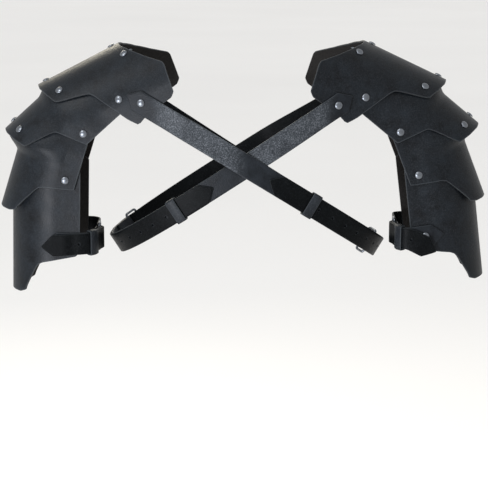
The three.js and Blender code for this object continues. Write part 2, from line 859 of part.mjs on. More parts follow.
function armPath(strap, slope) {
  const { sign, inner, legX, level } = strap;
  const corner = legX - inner;
  const half = [
    { x: 252, y: LEG_FACE },
    { x: 232, y: LEG_FACE },
    { x: legX + 16, y: LEG_FACE },
  ];
  for (const degrees of [0, 30, 60, 85]) {
    const angle = THREE.MathUtils.degToRad(degrees);
    half.push({
      x: legX - corner * Math.sin(angle),
      y: LEG_FACE - corner * (1 - Math.cos(angle)),
    });
  }
  half.push({ x: inner - 0.5, y: 24 }, { x: inner - 0.8, y: 0 });
  const height = (x) => level + slope * Math.max(0, x - (inner + 8));
  const back = half.map((p) => new THREE.Vector3(sign * p.x, -p.y, height(p.x)));
  const front = half
    .slice(0, -1)
    .reverse()
    .map((p) => new THREE.Vector3(sign * p.x, p.y, level));
  const upright = () => new THREE.Vector3(0, 0, 1);
  const centre = new THREE.Vector3(sign * 225, 0, level);
  return new StrapPath([...back, ...front], upright, centre);
}

function armStrap(strap) {
  const basePath = armPath(strap, strap.baseRise);
  const tonguePath = armPath(strap, -strap.tongueFall);
  const names = {
    short: `${strap.side}_arm_strap_back`,
    long: `${strap.side}_arm_strap_front`,
    buckle: `${strap.side}_arm_buckle`,
    keeper: `${strap.side}_arm_keeper`,
  };
  const heelOn = (path) => {
    let distance = path.distanceAtX(strap.sign * (strap.inner + 6), 0);
    while (path.frame(distance).point.y < ARM_HEEL_Y) {
      distance += 0.25;
    }
    return distance;
  };
  const heel = heelOn(basePath);
  const shift = heelOn(tonguePath) - heel;
  const shortTip = basePath.distanceAtX(strap.sign * strap.shortTipX, 0);
  const shortLine = [
    ...pointedEnd(shortTip, 1, LOW).reverse(),
    ...stations(shortTip + POINT_LENGTH, heel - ARM_RETURN - 18, LOW, ARM_STATION),
    ...foldedEnd(heel, ARM_RETURN),
  ];
  keep(names.short, strapSolid(basePath, shortLine), leatherStrap);
  const overRivet = tonguePath.distanceAtX(strap.sign * 206, 0);
  const clearRivet = tonguePath.distanceAtX(strap.sign * 197, 0);
  const tip = tonguePath.distanceAtX(strap.sign * strap.tipX, 0);
  const raised = 6.0;
  const frontEnd = tonguePath.length - tonguePath.distanceAtX(strap.sign * 229, 0);
  const longHeel = heel + shift;
  const longLine = [
    ...cutStart(frontEnd, -1),
    ...stations(frontEnd - CUT_LENGTH, longHeel + 22, LOW, ARM_STATION),
    ...throughBuckle(longHeel, ARM_RETURN, ARM_HIGH),
    ...stations(longHeel - ARM_RETURN - 17.5, clearRivet, ARM_HIGH, ARM_STATION),
    { distance: clearRivet, height: ARM_HIGH, half: STRAP_HALF },
    { distance: overRivet, height: raised, half: STRAP_HALF },
    ...pointedEnd(tip, 1, raised),
  ];
  keep(names.long, strapSolid(tonguePath, longLine), leatherTongue);
  const holeX = strap.side === "left" ? 191 : 195.5;
  const hole = tonguePath.distanceAtX(strap.sign * holeX, 0);
  punch(names.long, tonguePath, [hole, hole + HOLE_PITCH * 1.15], STRAP_THICK + 0.1, 9);
  const clearance = buckle(names.buckle, basePath, heel);
  drill(names.short, clearance);
  drill(names.long, clearance);
  const keeperAt = heel - ARM_RETURN - 24;
  keeper(names.keeper, basePath, keeperAt, 4);
  const backDistance = basePath.distanceAtX(strap.sign * strap.rivetX, 0);
  const frontDistance = tonguePath.length - tonguePath.distanceAtX(strap.sign * 213, 0);
  const lame = `${strap.side}_lame_4`;
  for (const [label, path, distance, first] of [
    ["arm_back", basePath, backDistance, names.short],
    ["arm_front", tonguePath, frontDistance, names.long],
  ]) {
    const { out } = path.frame(distance);
    const seat = path.place(distance, STRAP_THICK, 0);
    rivet(`${strap.side}_rivet_${label}`, seat, out, [first, lame]);
  }
}

// Assembly
for (const shoulder of SHOULDERS) {
  const frames = shoulder.lames.map((row, number) => lameFrame(shoulder, number));
  frames.forEach((lame, number) => {
    lame.above = number > 0 ? frames[number - 1] : null;
    const name = `${shoulder.side}_lame_${number + 1}`;
    keep(name, lameSolid(lame, PATTERNS[number]), leatherPlate);
  });
  for (const row of LAME_RIVETS) {
    const lame = frames[row.lame];
    const point = lamePoint(lame, row.around, row.along, 0);
    const normal = lameNormal(lame, row.around, row.along);
    const through = row.through.map((number) => `${shoulder.side}_lame_${number + 1}`);
    rivet(`${shoulder.side}_rivet_${row.name}`, point, normal, through);
  }
}
TORSO_STRAPS.forEach(torsoStrap);
ARM_STRAPS.forEach(armStrap);

const group = new THREE.Group();
group.name = "shoulder_harness";
for (const { name, manifold, look } of pieces.values()) {
  const mesh = new THREE.Mesh(geometryOf(manifold), look.clone());
  mesh.name = name;
  mesh.geometry.computeVertexNormals();
  group.add(mesh);
}
export default group;
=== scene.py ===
# %% [markdown]
# # A pair of strapped leather shoulder guards
# This lesson dresses the solids of two leather pauldrons. Each has four arched
# plates, called lames, that are riveted one under the other. Two long straps cross
# between them and join them, and a short buckled strap closes each lowest lame.
# The solids are faceted. A subdivision modifier would round them, but it would also
# melt the sharp corners of the cut leather. So every piece is made again here as a
# smooth surface in the same place, worked out from the same named sizes.

# %% Load the frame
import json
import math

import bmesh
import bpy
import numpy as np
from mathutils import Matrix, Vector


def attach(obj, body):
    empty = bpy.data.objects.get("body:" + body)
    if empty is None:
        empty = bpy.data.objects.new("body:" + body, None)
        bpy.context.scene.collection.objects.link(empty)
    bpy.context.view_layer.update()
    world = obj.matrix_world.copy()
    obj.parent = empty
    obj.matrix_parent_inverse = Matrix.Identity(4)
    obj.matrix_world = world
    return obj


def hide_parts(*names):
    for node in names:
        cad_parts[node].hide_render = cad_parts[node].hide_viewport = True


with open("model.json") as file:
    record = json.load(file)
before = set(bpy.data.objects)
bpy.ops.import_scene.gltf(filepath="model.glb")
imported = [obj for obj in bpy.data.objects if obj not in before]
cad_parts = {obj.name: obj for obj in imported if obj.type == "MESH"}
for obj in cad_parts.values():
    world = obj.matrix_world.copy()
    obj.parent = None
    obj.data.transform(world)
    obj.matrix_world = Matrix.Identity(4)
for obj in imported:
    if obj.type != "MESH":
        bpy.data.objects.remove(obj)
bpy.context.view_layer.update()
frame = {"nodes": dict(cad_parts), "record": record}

BODY_OF = {}
for body, nodes in frame["record"]["behaviour"]["bodies"].items():
    for name in nodes:
        BODY_OF[name] = body

# %% [markdown]
# ## The view
# The photograph shows the back, from a little above, with a long lens. A long lens
# keeps straps that run towards the camera from growing, so the camera stands two
# metres away and looks down by eleven degrees. The place and the lens were solved
# from the outer ends of the lames, whose places on the solids are known.

# %% Camera
LOOK_DOWN = 11
camera_lens = bpy.data.cameras.new("photo_view")
camera_lens.lens = 120.1
camera = bpy.data.objects.new("photo_view", camera_lens)
camera.location = (0.0012, -1.9633, 0.1376)
camera.rotation_euler = (math.radians(90 - LOOK_DOWN), 0, 0)
bpy.context.scene.collection.objects.link(camera)
bpy.context.scene.camera = camera
print("camera", tuple(camera.location), "lens", camera_lens.lens)

# %% [markdown]
# ## Colours and nodes
# A colour is written as the hex value that a screen shows. The shader wants linear
# light, so one function turns it. Another function adds any node with its settings
# and its links. The nodes could also be placed by hand in the shader editor, but in
# words a material stays short enough to read as a recipe.


# %% Colour and node helpers
def colour(hex_value):
    """sRGB hex to linear: c / 12.92 below 0.04045, else ((c + 0.055) / 1.055) ** 2.4."""
    parts = [int(hex_value[i:i + 2], 16) / 255 for i in (0, 2, 4)]
    linear = [c / 12.92 if c <= 0.04045 else ((c + 0.055) / 1.055) ** 2.4 for c in parts]
    return (*linear, 1)


def add_node(material, kind, inputs=None, **settings):
    """Adds a node. An input is a value, or a pair of another node and its output."""
    made = material.node_tree.nodes.new(kind)
    for key, value in settings.items():
        setattr(made, key, value)
    for socket, value in (inputs or {}).items():
        if isinstance(value, tuple) and isinstance(value[0], bpy.types.Node):
            material.node_tree.links.new(value[0].outputs[value[1]], made.inputs[socket])
        else:
            made.inputs[socket].default_value = value
    return made


def new_material(name):
    """An empty material with its output node."""
    material = bpy.data.materials.new(name)
    material.use_nodes = True
    material.node_tree.nodes.clear()
    return material, add_node(material, "ShaderNodeOutputMaterial")


def per(millimetres):
    """Texture scale at which one cell of the pattern is this many millimetres."""
    return 1000 / millimetres


# sockets of a colour mix: its two colours and its result
MIX_A, MIX_B, MIX_OUT = 6, 7, 2
print("a mid grey is", [round(c, 3) for c in colour("808080")[:3]], "in linear light")

# %% [markdown]
# ## Room and light
# The floor is plain and pale and well below the guards, which keep the height that
# they have in use. A pale sky gives the even light of a studio. Four square lamps
# shape the leather: the key stands high on the left, so the left guard is the
# brighter one; a narrow strip stands low on the left and draws the satin band down
# its lowest lame; a weak one fills the right; and one behind draws the pale band
# along the left crown. One sun would do this with fewer lamps, but its shadows
# would be hard and its highlights on the rivets too small.

# %% Floor
floor_paint, floor_out = new_material("matt_white_floor_paint")
floor_where = add_node(floor_paint, "ShaderNodeTexCoord")
floor_cloud = add_node(floor_paint, "ShaderNodeTexNoise", {
    "Vector": (floor_where, "Object"), "Scale": 0.6, "Detail": 2.0})
floor_tone = add_node(floor_paint, "ShaderNodeMix", {
    0: (floor_cloud, 0), MIX_A: colour("f4f3f1"), MIX_B: colour("fbfaf8")}, data_type="RGBA")
floor_skin = add_node(floor_paint, "ShaderNodeBsdfPrincipled", {
    "Base Color": (floor_tone, MIX_OUT), "Roughness": 0.9})
floor_paint.node_tree.links.new(floor_skin.outputs[0], floor_out.inputs[0])
# metres: height of the floor, and half its width
FLOOR_Z, FLOOR_HALF = -0.9, 40
floor_mesh = bpy.data.meshes.new("floor")
floor_corners = [(x * FLOOR_HALF, y * FLOOR_HALF, FLOOR_Z) for x, y in
                 ((-1, -1), (1, -1), (1, 1), (-1, 1))]
floor_mesh.from_pydata(floor_corners, [], [(0, 1, 2, 3)])
floor_mesh.materials.append(floor_paint)
floor = bpy.data.objects.new("floor", floor_mesh)
bpy.context.scene.collection.objects.link(floor)
print("floor", 2 * FLOOR_HALF, "m wide at z", FLOOR_Z)


# %% Lamps and sky
def soft_lamp(name, place, target, size, watts, tint):
    """A square lamp at place that faces target, both in metres."""
    lamp = bpy.data.lights.new(name, "AREA")
    lamp.color = colour(tint)[:3]
    lamp.size = size
    lamp.energy = watts
    holder = bpy.data.objects.new(name, lamp)
    holder.location = place
    direction = Vector(target) - Vector(place)
    holder.rotation_euler = direction.to_track_quat("-Z", "Y").to_euler()
    bpy.context.scene.collection.objects.link(holder)


# name, place, target, size in metres, watts, tint
soft_lamp("key", (-1.3, -1.5, 1.9), (-0.15, 0, -0.1), 1.0, 42, "ffffff")
soft_lamp("low_strip", (-0.88, -1.49, -0.48), (-0.217, -0.057, -0.2), 0.25, 26, "f4f7ff")
soft_lamp("fill", (1.2, -2.2, 0.6), (0.1, 0, -0.15), 1.0, 1, "ffffff")
soft_lamp("rim", (-0.6, 1.9, 0.8), (-0.18, 0, -0.03), 0.6, 9, "fff6e0")
sky = bpy.data.worlds.new("pale_studio")
bpy.context.scene.world = sky
sky.use_nodes = True
sky_light = sky.node_tree.nodes["Background"]
sky_light.inputs["Color"].default_value = colour("fafafa")
sky_light.inputs["Strength"].default_value = 0.9
# The standard view keeps the pale floor white, where a filmic one would turn it grey
bpy.context.scene.view_settings.view_transform = "Standard"

# %% [markdown]
# ## Dyed leather
# The lames are thick vegetable-tanned leather, dyed blue-black and finished with a
# thin resin. The eye gets a satin sheen with a soft mottled tone, a fine grain, and
# a paler thread along each cut edge, partly where the dye hasn't taken and use has
# rubbed it and partly a painted highlight on the rolled edge. The crossed straps are
# a coarser split with pale specks, partly the grain's tone and partly painted glints,
# and a paler stretch from each shoulder to the crossing; the tongues are smooth and
# nearly black. A scan of real leather would need image files, so one recipe of noise
# and cells serves for all three hides.


# %% Leather recipe
# tone of the pale specks: partly the grain's own, partly painted glints
SPECK_GREY = "878b92"
SWELL_MM = 26


def leather(name, dark, light, edge, mottle_mm, grain_mm, dent, rough, speckle, gloss, lighter=None):
    """Dyed leather: a cloudy mix of two tones, a pebble grain, light specks on top of
    the pebbles, partly the grain's tone and partly painted glints, and a pale line,
    partly edge wear and partly a painted highlight, where the attribute edge_mm is
    below 1 mm. Where the stretch attribute is 1 the tone turns to the paler one and
    the specks show in full.
    Real pores are about 0.2 mm apart, too fine for the render, so the grain is drawn
    a millimetre or more across."""
    material, out = new_material(name)
    where = add_node(material, "ShaderNodeTexCoord")
    cloud = add_node(material, "ShaderNodeTexNoise", {
        "Vector": (where, "Object"), "Scale": per(mottle_mm), "Detail": 8.0, "Roughness": 0.7})
    cloud_part = add_node(material, "ShaderNodeMapRange", {
        "Value": (cloud, 0), "From Min": 0.34, "From Max": 0.68})
    tone = add_node(material, "ShaderNodeMix", {
        0: (cloud_part, 0), MIX_A: colour(dark), MIX_B: colour(light)}, data_type="RGBA")
    grain = add_node(material, "ShaderNodeTexVoronoi", {
        "Vector": (where, "Object"), "Scale": per(grain_mm)})
    fine = add_node(material, "ShaderNodeTexNoise", {
        "Vector": (where, "Object"), "Scale": per(grain_mm), "Detail": 6.0, "Roughness": 0.7})
    # pale specks: partly the grain's tone, partly painted glints
    specks = add_node(material, "ShaderNodeMapRange", {
        "Value": (fine, 0), "From Min": 0.47, "From Max": 0.68, "To Max": speckle})
    if lighter:
        # a stretch between two values of x turns to the paler tone, patchy with the clouds
        pale_stretch_place = add_node(material, "ShaderNodeAttribute", attribute_name="rub")
        patches = add_node(material, "ShaderNodeMapRange", {
            "Value": (cloud, 0), "From Min": 0.38, "From Max": 0.58, "To Min": 0.55})
        rub = add_node(material, "ShaderNodeMath", {
            0: (pale_stretch_place, "Fac"), 1: (patches, 0)}, operation="MULTIPLY")
        tone = add_node(material, "ShaderNodeMix", {
            0: (rub, 0), MIX_A: (tone, MIX_OUT), MIX_B: colour(lighter)}, data_type="RGBA")
        specks = add_node(material, "ShaderNodeMath", {
            0: (specks, 0), 1: (rub, 0)}, operation="MULTIPLY")
    flecked = add_node(material, "ShaderNodeMix", {
        0: (specks, 0), MIX_A: (tone, MIX_OUT), MIX_B: colour(SPECK_GREY)}, data_type="RGBA")
    # pale line along each cut edge: partly wear, partly a painted highlight of the rolled edge
    edge_near = add_node(material, "ShaderNodeAttribute", attribute_name="edge_mm")
    pale_mask = add_node(material, "ShaderNodeMapRange", {
        "Value": (edge_near, "Fac"), "From Min": 0.1, "From Max": 1.0,
        "To Min": 0.55, "To Max": 0.0})
    skin_tone = add_node(material, "ShaderNodeMix", {
        0: (pale_mask, 0), MIX_A: (flecked, MIX_OUT), MIX_B: colour(edge)}, data_type="RGBA")
    sheen = add_node(material, "ShaderNodeMapRange", {
        "Value": (cloud, 0), "From Min": 0.3, "From Max": 0.7,
        "To Min": rough - 0.06, "To Max": rough + 0.08})
    swell = add_node(material, "ShaderNodeTexNoise", {
        "Vector": (where, "Object"), "Scale": per(SWELL_MM), "Detail": 2.0})
    waves = add_node(material, "ShaderNodeBump", {
        "Height": (swell, 0), "Strength": 0.35, "Distance": 0.0012})
    pebbles = add_node(material, "ShaderNodeBump", {
        "Height": (grain, 0), "Strength": dent, "Distance": 0.0002, "Normal": (waves, 0)})
    pores = add_node(material, "ShaderNodeBump", {
        "Height": (fine, 0), "Strength": dent, "Distance": 0.0003, "Normal": (pebbles, 0)})
    skin = add_node(material, "ShaderNodeBsdfPrincipled", {
        "Base Color": (skin_tone, MIX_OUT), "Roughness": (sheen, 0), "Normal": (pores, 0),
        "IOR": 1.5, "Specular IOR Level": gloss})
    material.node_tree.links.new(skin.outputs[0], out.inputs[0])
    return material


# resin-finished plate: satin, with a cool cast and soft clouds two centimetres wide
plate_leather = leather(
    "dyed_plate_leather", dark="040609", light="12171c", edge="3c4145", mottle_mm=20,
    grain_mm=1.1, dent=0.35, rough=0.42, speckle=0.06, gloss=0.13)
# strap: rougher, with pale specks, partly the grain's tone and partly painted glints
strap_leather = leather(
    "dyed_strap_leather", dark="0a0d11", light="191d22", edge="33373a", mottle_mm=18,
    grain_mm=1.4, dent=0.6, rough=0.43, speckle=0.45, gloss=0.13, lighter="2a2e32")
# smooth tongue: nearly black, with hardly any gloss
tongue_leather = leather(
    "smooth_tongue_leather", dark="020304", light="060809", edge="2a2d2f", mottle_mm=26,
    grain_mm=1.0, dent=0.3, rough=0.4, speckle=0.03, gloss=0.04)
print("leathers", plate_leather.name, strap_leather.name, tongue_leather.name)

# %% [markdown]
# ## Cut edge and flesh side
# Where the knife went through, the hide is dyed and then burnished with a wooden
# tool, which leaves a dark, slightly shiny edge. Underneath is the flesh side, a
# dull nap that takes light from every side alike, its brown-black darker than the
# nap itself as painted shade for the inside of the guard. Both are the same
# fibres, so they share one short recipe and differ in tone, grain and roughness.


# %% Raw leather recipe
def raw_leather(name, dark, light, grain_mm, rough):
    """Undressed leather: short fibres in two tones, dull, with a fine nap."""
    material, out = new_material(name)
    where = add_node(material, "ShaderNodeTexCoord")
    fibres = add_node(material, "ShaderNodeTexNoise", {
        "Vector": (where, "Object"), "Scale": per(grain_mm), "Detail": 6.0, "Roughness": 0.75})
    part = add_node(material, "ShaderNodeMapRange", {
        "Value": (fibres, 0), "From Min": 0.35, "From Max": 0.65})
    tone = add_node(material, "ShaderNodeMix", {
        0: (part, 0), MIX_A: colour(dark), MIX_B: colour(light)}, data_type="RGBA")
    nap = add_node(material, "ShaderNodeBump", {
        "Height": (fibres, 0), "Strength": 0.5, "Distance": 0.0003})
    skin = add_node(material, "ShaderNodeBsdfPrincipled", {
        "Base Color": (tone, MIX_OUT), "Roughness": rough, "Normal": (nap, 0),
        "Specular IOR Level": 0.2})
    material.node_tree.links.new(skin.outputs[0], out.inputs[0])
    return material


cut_edge = raw_leather("burnished_cut_edge", dark="15171a", light="303335", grain_mm=0.9, rough=0.5)
# its brown-black is painted shade for the inside of the guard
flesh_side = raw_leather("suede_flesh_side", dark="121110", light="1e1c1b", grain_mm=2.2, rough=0.9)
print("raw sides", cut_edge.name, flesh_side.name)

# %% [markdown]
# ## Rivet metal
# The rivets are pressed steel caps with a black-nickel plating, and the buckles are
# bent from wire with the same plating. The eye gets a dark grey metal with a soft
# highlight. The rim of a cap is a little paler, a painted ring highlight, so the
# colour follows the attribute centre_mm, the distance from the middle of the cap.
# Small scuffs of about 1.5 mm vary the roughness, so that no two highlights are alike.

# %% Black nickel
SCUFF_MM = 1.5
black_nickel, nickel_out = new_material("black_nickel_plating")
nickel_where = add_node(black_nickel, "ShaderNodeTexCoord")
nickel_centre = add_node(black_nickel, "ShaderNodeAttribute", attribute_name="centre_mm")
nickel_part = add_node(black_nickel, "ShaderNodeMapRange", {
    "Value": (nickel_centre, "Fac"), "From Min": 2.0, "From Max": 3.3})
# past 3.3 mm from the middle the cap turns paler: a painted ring highlight
nickel_tone = add_node(black_nickel, "ShaderNodeMix", {
    0: (nickel_part, 0), MIX_A: colour("666a70"), MIX_B: colour("6e7278")}, data_type="RGBA")
nickel_scuffs = add_node(black_nickel, "ShaderNodeTexNoise", {
    "Vector": (nickel_where, "Object"), "Scale": per(SCUFF_MM), "Detail": 4.0})
nickel_rough = add_node(black_nickel, "ShaderNodeMapRange", {
    "Value": (nickel_scuffs, 0), "To Min": 0.28, "To Max": 0.46})
nickel_skin = add_node(black_nickel, "ShaderNodeBsdfPrincipled", {
    "Base Color": (nickel_tone, MIX_OUT), "Metallic": 1.0, "Roughness": (nickel_rough, 0)})
black_nickel.node_tree.links.new(nickel_skin.outputs[0], nickel_out.inputs[0])
print("metal", black_nickel.name)

# %% [markdown]
# ## From arrays to a piece
# Each piece is a closed mesh. numpy works out its points in millimetres, and one
# function puts them into Blender in metres, marks the sharp edges and hangs the
# piece on its body, which is the group of pieces that moves with it. Another turns
# the faces outwards if the volume comes out negative. Editing by hand would need
# the same steps again for each of the sixty pieces.


# %% Mesh helpers
def outward(points, faces):
    """Faces turned so that the volume, the sum of a . (b x c) / 6, is positive."""
    corners = points[faces]
    volume = np.einsum("ij,ij->i", corners[:, 0], np.cross(corners[:, 1], corners[:, 2])).sum()
    volume += np.einsum("ij,ij->i", corners[:, 0], np.cross(corners[:, 2], corners[:, 3])).sum()
    return faces[:, ::-1] if volume < 0 else faces


def grid_faces(columns, rows, start=0, closed=False):
    """Quads of a grid whose point (i, j) is number start + i * rows + j. A closed grid
    also joins its last column to its first."""
    i = np.arange(columns if closed else columns - 1)[:, None]
    j = np.arange(rows - 1)[None, :]
    after = (i + 1) % columns
    quads = [i * rows + j, after * rows + j, after * rows + j + 1, i * rows + j + 1]
    return np.stack(np.broadcast_arrays(*quads), -1).reshape(-1, 4) + start


def put_piece(name, node, points, faces, materials, numbers=None, extras=(), sharp=50):
    """Makes the mesh object, which stands for the CAD node and rides on its body.
    numbers gives each face its material, extras are point attributes, and faces
    that meet at more than sharp degrees keep a crisp edge."""
    mesh = bpy.data.meshes.new(name)
    faces = np.asarray(faces)
    mesh.from_pydata((np.asarray(points) / 1000).tolist(), [], faces.tolist())
    for material in materials:
        mesh.materials.append(material)
    if numbers is not None:
        mesh.polygons.foreach_set("material_index", np.asarray(numbers, np.int32))
    for key, values in extras:
        layer = mesh.attributes.new(key, "FLOAT", "POINT")
        layer.data.foreach_set("value", np.asarray(values, np.float32))
    mesh.validate()
    mesh.shade_smooth()
    mesh.set_sharp_from_angle(angle=math.radians(sharp))
    piece = bpy.data.objects.new(name, mesh)
    bpy.context.scene.collection.objects.link(piece)
    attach(piece, BODY_OF[node])
    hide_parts(node)
    return piece


def change_mesh(piece, change):
    """Opens the mesh, lets change(work) edit it, and turns all faces outwards again."""
    work = bmesh.new()
    work.from_mesh(piece.data)
    change(work)
    bmesh.ops.recalc_face_normals(work, faces=work.faces)
    work.to_mesh(piece.data)
    work.free()


def unit(vectors):
    """Each vector divided by its length."""
    return vectors / np.linalg.norm(vectors, axis=-1)[..., None]


print("helpers ready for", len(frame["nodes"]), "nodes")

# %% [markdown]
# ## The arch of a lame
# A lame is a flat pattern bent over the shoulder. Across it, the leather follows a
# half circle and then runs straight down. Along it, the crown is a straight line
# that slopes down and outwards. The hidden end of lames 2 and 3 rises to lie under
# the lame above, where the crown rivets hold it. A maker soaks the leather, bends
# it over a form and lets it dry. Here the bend is a formula of two lengths on the
# flat pattern, around the arch and along the crown, so the same table cuts the
# leather and places the rivets.

# %% Sizes of the lames
LAME_THICK = 2.5
AIR = 0.35
QUARTER = math.pi / 2
# nearer than WIDEN_FROM to the middle, a lame widens from front to back
WIDEN_FROM, WIDEN_RATE = 205, 1.9e-5
LAMES = 4
# sign of x, and for each lame: end x, end z, slope in degrees, radius
SHOULDERS = {
    "left": (-1, [(-240.7, -45.2, 27.2, 65.7), (-280.4, -96.5, 42.1, 62.8),
                  (-287.4, -186.3, 72.5, 59.9), (-276.0, -286.2, 88.6, 56.5)]),
    "right": (1, [(238.6, -39.6, 25.3, 65.7), (277.7, -90.3, 39.6, 62.8),
                  (286.8, -174.8, 68.8, 59.9), (287.2, -269.9, 83.1, 56.5)]),
}
# the lowest left lame stands steeper, so it reaches further under lame 3
LONGER = {("left", 3): 4.5}
# hidden end of each lame: rise from, rise to, clearance, squeeze, where the squeeze is
TUCKS = [None, (-52, -76, 0.7, 1.1, -92), (-68, -90, 1.0, 1.5, -102), None]
# half of the length over which a squeeze comes in
SQUEEZE_HALF = 12
print("radii of the arches", [row[3] for row in SHOULDERS["left"][1]], "mm")

# %% Flat patterns
# around the arch from the crown, inner edge, outer edge; front and back are alike
PATTERNS = [
    [(0, -105.5, 0), (22, -109, -2.3), (42, -118.4, -8), (58.5, -130.5, -14.8),
     (61, -132.7, -19), (68.5, -139.8, -50), (71, -142.3, -55.5), (76, -147.4, -59.5),
     (80, -148.3, -61.7), (112, -144, -79.5), (117, -138.5, -82.3), (121, -108, -85.2),
     (127, -93.5, -90)],
    [(0, -95, 0), (24, -95, -1.6), (46, -95, -5.6), (60, -95, -9.5), (64, -103.5, -11),
     (65.5, -107, -14.5), (74.5, -134, -44), (77.5, -138, -49.5), (83, -138, -52.8),
     (108, -138, -64.5), (112.5, -134, -66.8)],
    [(0, -104, 0), (24, -104, -0.8), (40, -104, -2.5), (51, -104, -6), (52.5, -104, -10),
     (69.5, -124, -35), (73, -127, -40), (79, -127, -42.8), (110, -127, -49.5),
     (114.5, -123, -51)],
    [(0, -108, 0), (38, -108, -0.5), (45, -109, -2.8), (48.2, -111, -4), (49.5, -112, -8),
     (63.5, -120.5, -32), (67, -123, -36.5), (73, -126, -39.3), (88, -145.5, -42.5),
     (112, -145.5, -47.5), (116.5, -141.5, -52.5)],
]
print("corners in each half pattern", [len(pattern) for pattern in PATTERNS])


# %% Lame formulas
def smooth_step(value, low, high):
    """3 t^2 - 2 t^3 with t running from 0 at low to 1 at high."""
    t = np.clip((value - low) / (high - low), 0, 1)
    return t * t * (3 - 2 * t)


def widening(x):
    """1 + rate * (how much nearer than WIDEN_FROM to the middle) squared."""
    return 1 + WIDEN_RATE * np.maximum(0, WIDEN_FROM - np.abs(x)) ** 2


def lame_axes(side, number):
    """End of the crown line, the directions down it and up from it, and the radius."""
    sign, rows = SHOULDERS[side]
    end_x, end_z, slope, radius = rows[number]
    c, s = math.cos(math.radians(slope)), math.sin(math.radians(slope))
    end = np.array([end_x, 0, end_z])
    return end, np.array([sign * c, 0, -s]), np.array([sign * s, 0, c]), radius


def tuck(side, number, along, arc_fall):
    """Rise of the hidden end towards the lame above, and how far its legs draw in:
    (room under the upper lame - what its arch already gives) * a smooth step."""
    if TUCKS[number] is None:
        return 0 * along, 0 * along
    start, stop, clearance, squeeze, squeeze_at = TUCKS[number]
    end, down, up, _ = lame_axes(side, number)
    upper_end, _, upper_up, _ = lame_axes(side, number - 1)
    fall = (end - upper_end) @ upper_up + along * (down @ upper_up)
    tilt = up @ upper_up
    room = (-LAME_THICK - AIR - clearance - fall) / tilt
    part = smooth_step(-along, -start, -stop)
    drawn = squeeze * smooth_step(-along, -squeeze_at - SQUEEZE_HALF, -squeeze_at + SQUEEZE_HALF)
    return (room - arc_fall * (1 - tilt)) * part, drawn


def lame_points(side, number, around, along, out):
    """end + down * along - up * (R (1 - cos a) + leg - away cos a), and
    y = -sin a (R w - drawn + away), where a is the turn round the arch, w the
    widening and away the height above the outer face."""
    end, down, up, radius = lame_axes(side, number)
    turn = np.clip(around / radius, -QUARTER, QUARTER)
    leg = np.maximum(0, np.abs(around) - radius * QUARTER)
    arc_fall = radius * (1 - np.cos(turn))
    rise, drawn = tuck(side, number, along, arc_fall)
    away = out + rise * np.cos(turn)
    fall = arc_fall + leg - away * np.cos(turn)
    points = end + along[..., None] * down - fall[..., None] * up
    points[..., 1] = -np.sin(turn) * (radius * widening(points[..., 0]) - drawn + away)
    return points


print("the left crown ends at", lame_points("left", 0, *np.zeros((3, 1)))[0].round(1), "mm")

# %% [markdown]
# ## Cutting the pattern
# The edges of a pattern are straight between the corners of its table. A knife
# leaves corners that are slightly round, so the edge is averaged over a
# millimetre. The outer and the inner grid are joined by a rim that rolls over, as a
# burnished edge does. A bevel modifier could round it too, but the rim's own rings
# keep the grid fine just there and take the edge finish without any painting.


# %% Edges of a lame
# half of the length over which a cut corner is rounded, and the samples in it
CORNER_HALF, CORNER_SAMPLES = 0.6, 7
# places of the fine rows by an edge, and where the even rows begin
FINE_ROWS, EVEN_FROM = [0, 0.6, 1.6], 3


def edge_lines(number, around):
    """Inner and outer edge at each place around: the mean of the table near it."""
    table = np.array(PATTERNS[number], float)
    widths = np.linspace(-CORNER_HALF, CORNER_HALF, CORNER_SAMPLES)
    spread = np.minimum(np.abs(around[:, None] + widths), table[-1, 0])
    inner = np.interp(spread, table[:, 0], table[:, 1]).mean(1)
    outer = np.interp(spread, table[:, 0], table[:, 2]).mean(1)
    return inner, outer


def fine_at_ends(length, step):
    """Places from 0 to length: the fine rows at each end, and about a step apart between."""
    count = max(3, round((length - 2 * EVEN_FROM) / step))
    middle = np.linspace(EVEN_FROM, length - EVEN_FROM, count)
    return np.concatenate([FINE_ROWS, middle, [length - row for row in FINE_ROWS[::-1]]])


print("places across a lame", len(fine_at_ends(2 * PATTERNS[0][-1][0], 1.2)))

# %% Lame mesh
COLUMN_STEP, ROW_PERCENT = 1.2, 2.3
# rings of the rim: depth as a share of the thickness, and swell in millimetres
RIM = [(0.13, 0.34), (0.32, 0.5), (0.68, 0.5), (0.87, 0.34)]


